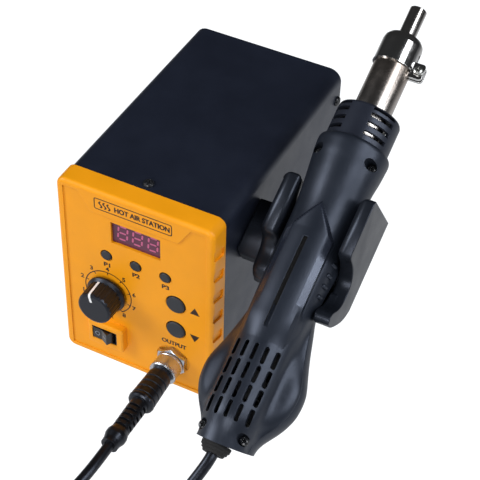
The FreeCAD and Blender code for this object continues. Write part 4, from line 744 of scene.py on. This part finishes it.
def grip_panel():
    rows = stations((57.6, 66.0, 0.8), (66.0, 67.4, 0.2), (67.4, 118.8, 0.8),
                    (118.8, 120.4, 0.2), (120.4, 142.6, 0.35))
    half = stations((0.0, 0.9, 0.4), (1.05, 1.4, 0.05), (1.9, 10.0, 0.9), (10.0, 11.3, 0.18),
                    (11.4, 13.2, 0.35), (13.25, 14.2, 0.1), (14.5, 17.1, 0.4))
    columns = np.concatenate([-half[:0:-1], half])
    angles = np.linspace(-1.4, 1.4, 561)
    top, bottom = [], []
    for along in rows:
        radii = skin_radii(angles, along)
        across, up = radii * np.sin(angles), SEAM_UP + radii * np.cos(angles)
        use = np.abs(across) < SKIN_REACH
        across, up = across[use], up[use]
        centre = float(np.interp(0.0, across, up))
        foot = float(np.interp(PANEL_HALF - WALL, across, up))
        for x in columns:
            skin = float(np.interp(x, across, up))
            top.append(hand(x, along, panel_top(x, along, skin, centre, foot)))
            bottom.append(hand(x, along, skin - BURIED))

    nr, nc = len(rows), len(columns)
    under = nr * nc                         # index of the first underside vertex
    faces = []
    for o in (0, under):
        for i in range(nr - 1):
            for j in range(nc - 1):
                quad = [o + i * nc + j, o + i * nc + j + 1, o + (i + 1) * nc + j + 1,
                        o + (i + 1) * nc + j]
                faces.append(quad[::-1] if o else quad)
    for i in range(nr - 1):
        for j, flip in ((0, False), (nc - 1, True)):
            quad = [i * nc + j, (i + 1) * nc + j, under + (i + 1) * nc + j,
                    under + i * nc + j]
            faces.append(quad[::-1] if flip else quad)
    for j in range(nc - 1):
        for i, flip in ((0, True), (nr - 1, False)):
            quad = [i * nc + j, i * nc + j + 1, under + i * nc + j + 1, under + i * nc + j]
            faces.append(quad if flip else quad[::-1])

    grip = from_faces("grip_panel", top + bottom, faces, "handle_charcoal", "handpiece")
    # black rubber on the groove faces: painted shade that darkens the groove
    grip.data.materials.append(MATERIALS["black_rubber"])
    # bevel faces: lighter colour as a painted highlight, with a smoother finish
    grip.data.materials.append(MATERIALS["charcoal_satin_painted_highlight"])
    index = [grip_face_material(abs((columns[j] + columns[j + 1]) / 2),
                                (rows[i] + rows[i + 1]) / 2, rows[i])
             for i in range(nr - 1) for j in range(nc - 1)]
    index += [0] * (len(grip.data.polygons) - len(index))
    grip.data.polygons.foreach_set("material_index", index)


grip_panel()


# ----------------------------------------------------------------------
# cradle: plates across x, with outlines in (up, along) of the handpiece frame
# ----------------------------------------------------------------------
def inward_moves(points):
    """Mitred move of each point for an inset of 1. Points run anticlockwise."""
    moves = []
    for i, point in enumerate(points):
        before, here, after = (np.array(p) for p in
                               (points[i - 1], point, points[(i + 1) % len(points)]))
        e1, e2 = here - before, after - here
        e1, e2 = e1 / np.linalg.norm(e1), e2 / np.linalg.norm(e2)
        n1, n2 = np.array([-e1[1], e1[0]]), np.array([-e2[1], e2[0]])
        moves.append((n1 + n2) / max(0.35, 1 + float(n1 @ n2)))
    return moves


def rounded_plate(outline, x0, x1, radius0, radius1, limits=None, steps=9):
    """Plate from x0 to x1 with its outline edges rounded over, by radius0 at x0 and radius1
    at x1. limits gives the largest inward move at each outline point."""
    points, limits = list(outline), limits or [99.0] * len(outline)
    doubled_area = sum(p[0] * q[1] - q[0] * p[1]
                       for p, q in zip([points[-1]] + points, points))
    if doubled_area <= 0:
        points, limits = points[::-1], limits[::-1]
    layers = []             # x, inset and radius of each ring of vertices
    for end, radius, inner, order in ((x0, radius0, 1, range(steps + 1)),
                                      (x1, radius1, -1, range(steps, -1, -1))):
        for i in order:
            angle = math.pi / 2 * i / steps
            layers.append((end + inner * radius * (1 - math.cos(angle)),
                           radius * (1 - math.sin(angle)), radius))
    verts, faces = [], []
    n = len(points)
    moves = inward_moves(points)
    for x, inset, radius in layers:
        for point, move, limit in zip(points, moves, limits):
            up, along = np.array(point) + move * inset * min(1.0, limit / radius)
            verts.append(hand(x, along, up))
    for k in range(len(layers) - 1):
        for i in range(n):
            j = (i + 1) % n
            faces.append([k * n + i, k * n + j, (k + 1) * n + j, (k + 1) * n + i])
    faces.append(list(range(n))[::-1])
    faces.append([(len(layers) - 1) * n + i for i in range(n)])
    return verts, faces


def curve(*control):
    return [tuple(p) for p in spline(control, steps=4)]


def soften_second(points, radius):
    """The outline with its second corner turned into an arc."""
    before, corner, after = (np.array(p, float) for p in points[:3])
    u = (before - corner) / np.linalg.norm(before - corner)
    v = (after - corner) / np.linalg.norm(after - corner)
    half = math.acos(max(-1, min(1, float(u @ v)))) / 2
    reach = radius / math.tan(half)
    a, b = corner + u * reach, corner + v * reach
    centre = corner + (u + v) / np.linalg.norm(u + v) * (radius / math.sin(half))
    bend = []
    for q in np.linspace(0, 1, 9):
        ray = a * (1 - q) + b * q - centre
        bend.append(tuple(centre + ray / np.linalg.norm(ray) * radius))
    return points[:1] + bend + points[2:]


def edge_limits(points, top_above, middle):
    """Full rounding on the top edge, nearly none at the back, middle in between."""
    return [5.0 if up > top_above else (0.6 if up < -24.0 else middle) for up, _ in points]


def block(up0, up1, along0, along1):
    return [(up0, along0), (up1, along0), (up1, along1), (up0, along1)]


def cradle():
    back = -28.0            # lowest height of the cradle, under the handpiece
    lower_edge = curve((back, 101.0), (-24.5, 95.0), (-19.0, 90.0), (-10.0, 84.6),
                       (-3.0, 81.9), (1.6, 82.0))
    notch = curve((3.6, 84.9), (2.2, 88.0), (-3.0, 91.6), (-7.4, 96.2), (-9.2, 102.4),
                  (-7.8, 109.0), (-3.0, 113.6), (5.0, 116.0), (14.4, 116.4))
    right = soften_second([(17.0, 118.0), (17.0, 151.0), (back, 157.0)]
                          + lower_edge + notch, 2.5)
    hook = ([p for p in lower_edge if p[0] > -19.5] + [p for p in notch if p[1] < 102.5]
            + [(-18.0, 102.4)])
    left_notch = curve((-19.0, 98.0), (-13.6, 101.0), (-11.6, 106.0), (-10.2, 112.0),
                       (-5.0, 117.3), (3.0, 118.6))
    left = soften_second([(6.0, 120.0), (6.0, 155.5), (back, 158.5), (back, 98.0)]
                         + left_notch, 2.0)
    under_hook = [(-24.5, 95.6), (-18.6, 90.2), (-18.6, 104.0), (-24.5, 104.0)]
    wall_x = UNIT_SIDE_X - HAND_X + 0.02        # just clear of the control unit's side
    plates = (
        # outline, x from and to, edge radii there, limits
        (right, 19.3, 27.8, 4.6, 0.5, edge_limits(right, top_above=12.0, middle=1.5)),
        (left, -29.8, -19.3, 4.6, 3.2, edge_limits(left, top_above=0.5, middle=2.2)),
        (hook, 18.4, 23.0, 1.1, 0.4),
        (under_hook, 11.5, 20.0, 0.5, 0.5),
        (block(back, back + 4.0, 101.0, 157.0), -26.0, 26.0, 0.8, 0.8),
        (block(back, back + 14.0, 108.0, 141.0), wall_x, -24.0, 1.0, 1.0))
    verts, faces = [], []
    for plate in plates:
        base = len(verts)
        plate_verts, plate_faces = rounded_plate(*plate)
        verts += plate_verts
        faces += [[base + i for i in face] for face in plate_faces]
    moulding = from_faces("cradle_moulding", verts, faces, "cradle_black", "root")
    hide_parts("holder_cradle")


cradle()


# ----------------------------------------------------------------------
# finger ribs along the right edge of the front shell
# ----------------------------------------------------------------------
def finger_rib(name, along):
    """A low rounded capsule lying across the skin."""
    angle = math.radians(66.5)                          # from straight up
    length, radius, flatness = 0.0022, 0.00145, 0.8     # metres, metres, ratio
    around, rings = 16, 12
    reach = float(skin_radii(np.array([angle]), along)[0]) + 0.1
    centre = hand(reach * math.sin(angle), along, SEAM_UP + reach * math.cos(angle))
    across, up = Vector((1, 0, 0)), Vector((0, -SIN_TILT, COS_TILT))
    out = (across * math.sin(angle) + up * math.cos(angle)).normalized()
    axis = (across * math.cos(angle) - up * math.sin(angle)).normalized()
    side = axis.cross(out)

    verts = []
    for i in range(rings + 1):
        polar = math.pi * i / rings
        half = np.sign(i - rings / 2) * length / 2
        middle = centre + axis * float(half - math.cos(polar) * radius)
        if i in (0, rings):
            verts.append(middle)
            continue
        r = math.sin(polar) * radius
        for k in range(around):
            turn = 2 * math.pi * k / around
            verts.append(middle + side * (r * math.cos(turn))
                         + out * (r * flatness * math.sin(turn)))

    def index(i, k):
        if i == 0:
            return 0
        return 1 + (i - 1) * around + (k % around if i < rings else 0)

    faces = []
    for i in range(rings):
        for k in range(around):
            quad = (index(i, k), index(i, k + 1), index(i + 1, k + 1), index(i + 1, k))
            faces.append(list(dict.fromkeys(quad)))     # triangles at the two ends
    from_faces(name, verts, faces, "handle_charcoal", "handpiece")


RIB_FIRST, RIB_PITCH = 113.6, 6.4
for rib in range(4):
    finger_rib("finger_rib_%d" % (rib + 1), RIB_FIRST - RIB_PITCH * rib)


# ----------------------------------------------------------------------
# floor, light, camera (metres)
# ----------------------------------------------------------------------
def floor_material():
    """Even and pale to the camera. Reflections see a lit table that falls off into a dark
    room."""
    k = NodeMaterial("floor_pale")
    distance = k.node("VectorMath", {0: k.position}, operation="LENGTH").outputs["Value"]
    table = k.ramp(distance, span=(0.30, 0.95), to=(0.56, 0.03),
                   interpolation_type="SMOOTHSTEP")
    seen = k.node("LightPath").outputs["Is Camera Ray"]
    glow = k.node("Mix", {0: seen, 2: table, 3: 1.03}).outputs[0]
    k.feed(k.bsdf, {
        "Base Color": (0.16, 0.16, 0.16, 1), "Emission Color": (0.965, 0.98, 1.0, 1),
        "Roughness": 0.9, "Specular IOR Level": 0.1, "Emission Strength": glow})
    return k.material


def studio_floor():
    cells, size = 24, 12
    row = cells + 1
    verts = [(-size / 2 + size * i / cells, -size / 2 + size * j / cells, 0.0)
             for j in range(row) for i in range(row)]
    faces = [[j * row + i, j * row + i + 1, (j + 1) * row + i + 1, (j + 1) * row + i]
             for j in range(cells) for i in range(cells)]
    mesh = bpy.data.meshes.new("studio_floor")
    mesh.from_pydata(verts, [], faces)
    floor = bpy.data.objects.new("studio_floor", mesh)
    bpy.context.scene.collection.objects.link(floor)
    mesh.materials.append(floor_material())


def dim_world():
    world = bpy.context.scene.world or bpy.data.worlds.new("World")
    bpy.context.scene.world = world
    world.use_nodes = True
    background = world.node_tree.nodes["Background"]
    background.inputs["Color"].default_value = (0.95, 0.97, 1.0, 1)
    background.inputs["Strength"].default_value = 0.035


def area_light(name, place, target, size, power, size_y=None, color=(1, 1, 1)):
    light = bpy.data.lights.new(name, "AREA")
    light.energy = power
    light.size = size
    if size_y:
        light.shape = "RECTANGLE"
        light.size_y = size_y
    light.color = color
    lamp = bpy.data.objects.new(name, light)
    bpy.context.scene.collection.objects.link(lamp)
    lamp.location = place
    lamp.rotation_mode = "QUATERNION"
    lamp.rotation_quaternion = (Vector(target) - Vector(place)).to_track_quat("-Z", "Y")


def camera():
    data = bpy.data.cameras.new("camera")
    data.lens = 110.61
    data.sensor_width = 36.0
    data.clip_start, data.clip_end = 0.05, 30.0
    viewer = bpy.data.objects.new("camera", data)
    bpy.context.scene.collection.objects.link(viewer)
    azimuth, elevation, roll = (math.radians(a) for a in (25.682, 43.141, -1.983))
    forward = -Vector((math.sin(azimuth) * math.cos(elevation),
                       -math.cos(azimuth) * math.cos(elevation), math.sin(elevation)))
    right = forward.cross(Vector((0, 0, 1))).normalized()
    down = forward.cross(right)
    rolled_right = math.cos(roll) * right + math.sin(roll) * down
    rolled_down = -math.sin(roll) * right + math.cos(roll) * down
    pose = Matrix((rolled_right, -rolled_down, -forward)).transposed().to_4x4()
    pose.translation = station(311.28, -511.69, 670.63 + PANEL_Z)
    viewer.matrix_world = pose
    bpy.context.scene.camera = viewer


studio_floor()
dim_world()
area_light("box_left", place=(-1.5, -0.9, 1.15), target=(0, 0, 0.1), size=0.8, size_y=1.2,
           power=28.0, color=(0.95, 0.97, 1.0))
area_light("box_right", place=(1.30, -0.12, 1.52), target=(0.05, 0, 0.1), size=1.2,
           size_y=0.95, power=21.0, color=(0.93, 0.96, 1.0))
area_light("strip_right", place=(1.84, 0.16, 0.84), target=(0.06, 0.0, 0.12), size=0.6,
           size_y=0.36, power=9.0, color=(0.93, 0.96, 1.0))
area_light("front_fill", place=(0.1, -2.2, 1.0), target=(0, 0, 0.06), size=1.0, power=25.0)
camera()
bpy.context.scene.view_settings.view_transform = "Standard"
bpy.context.scene.view_settings.look = "None"
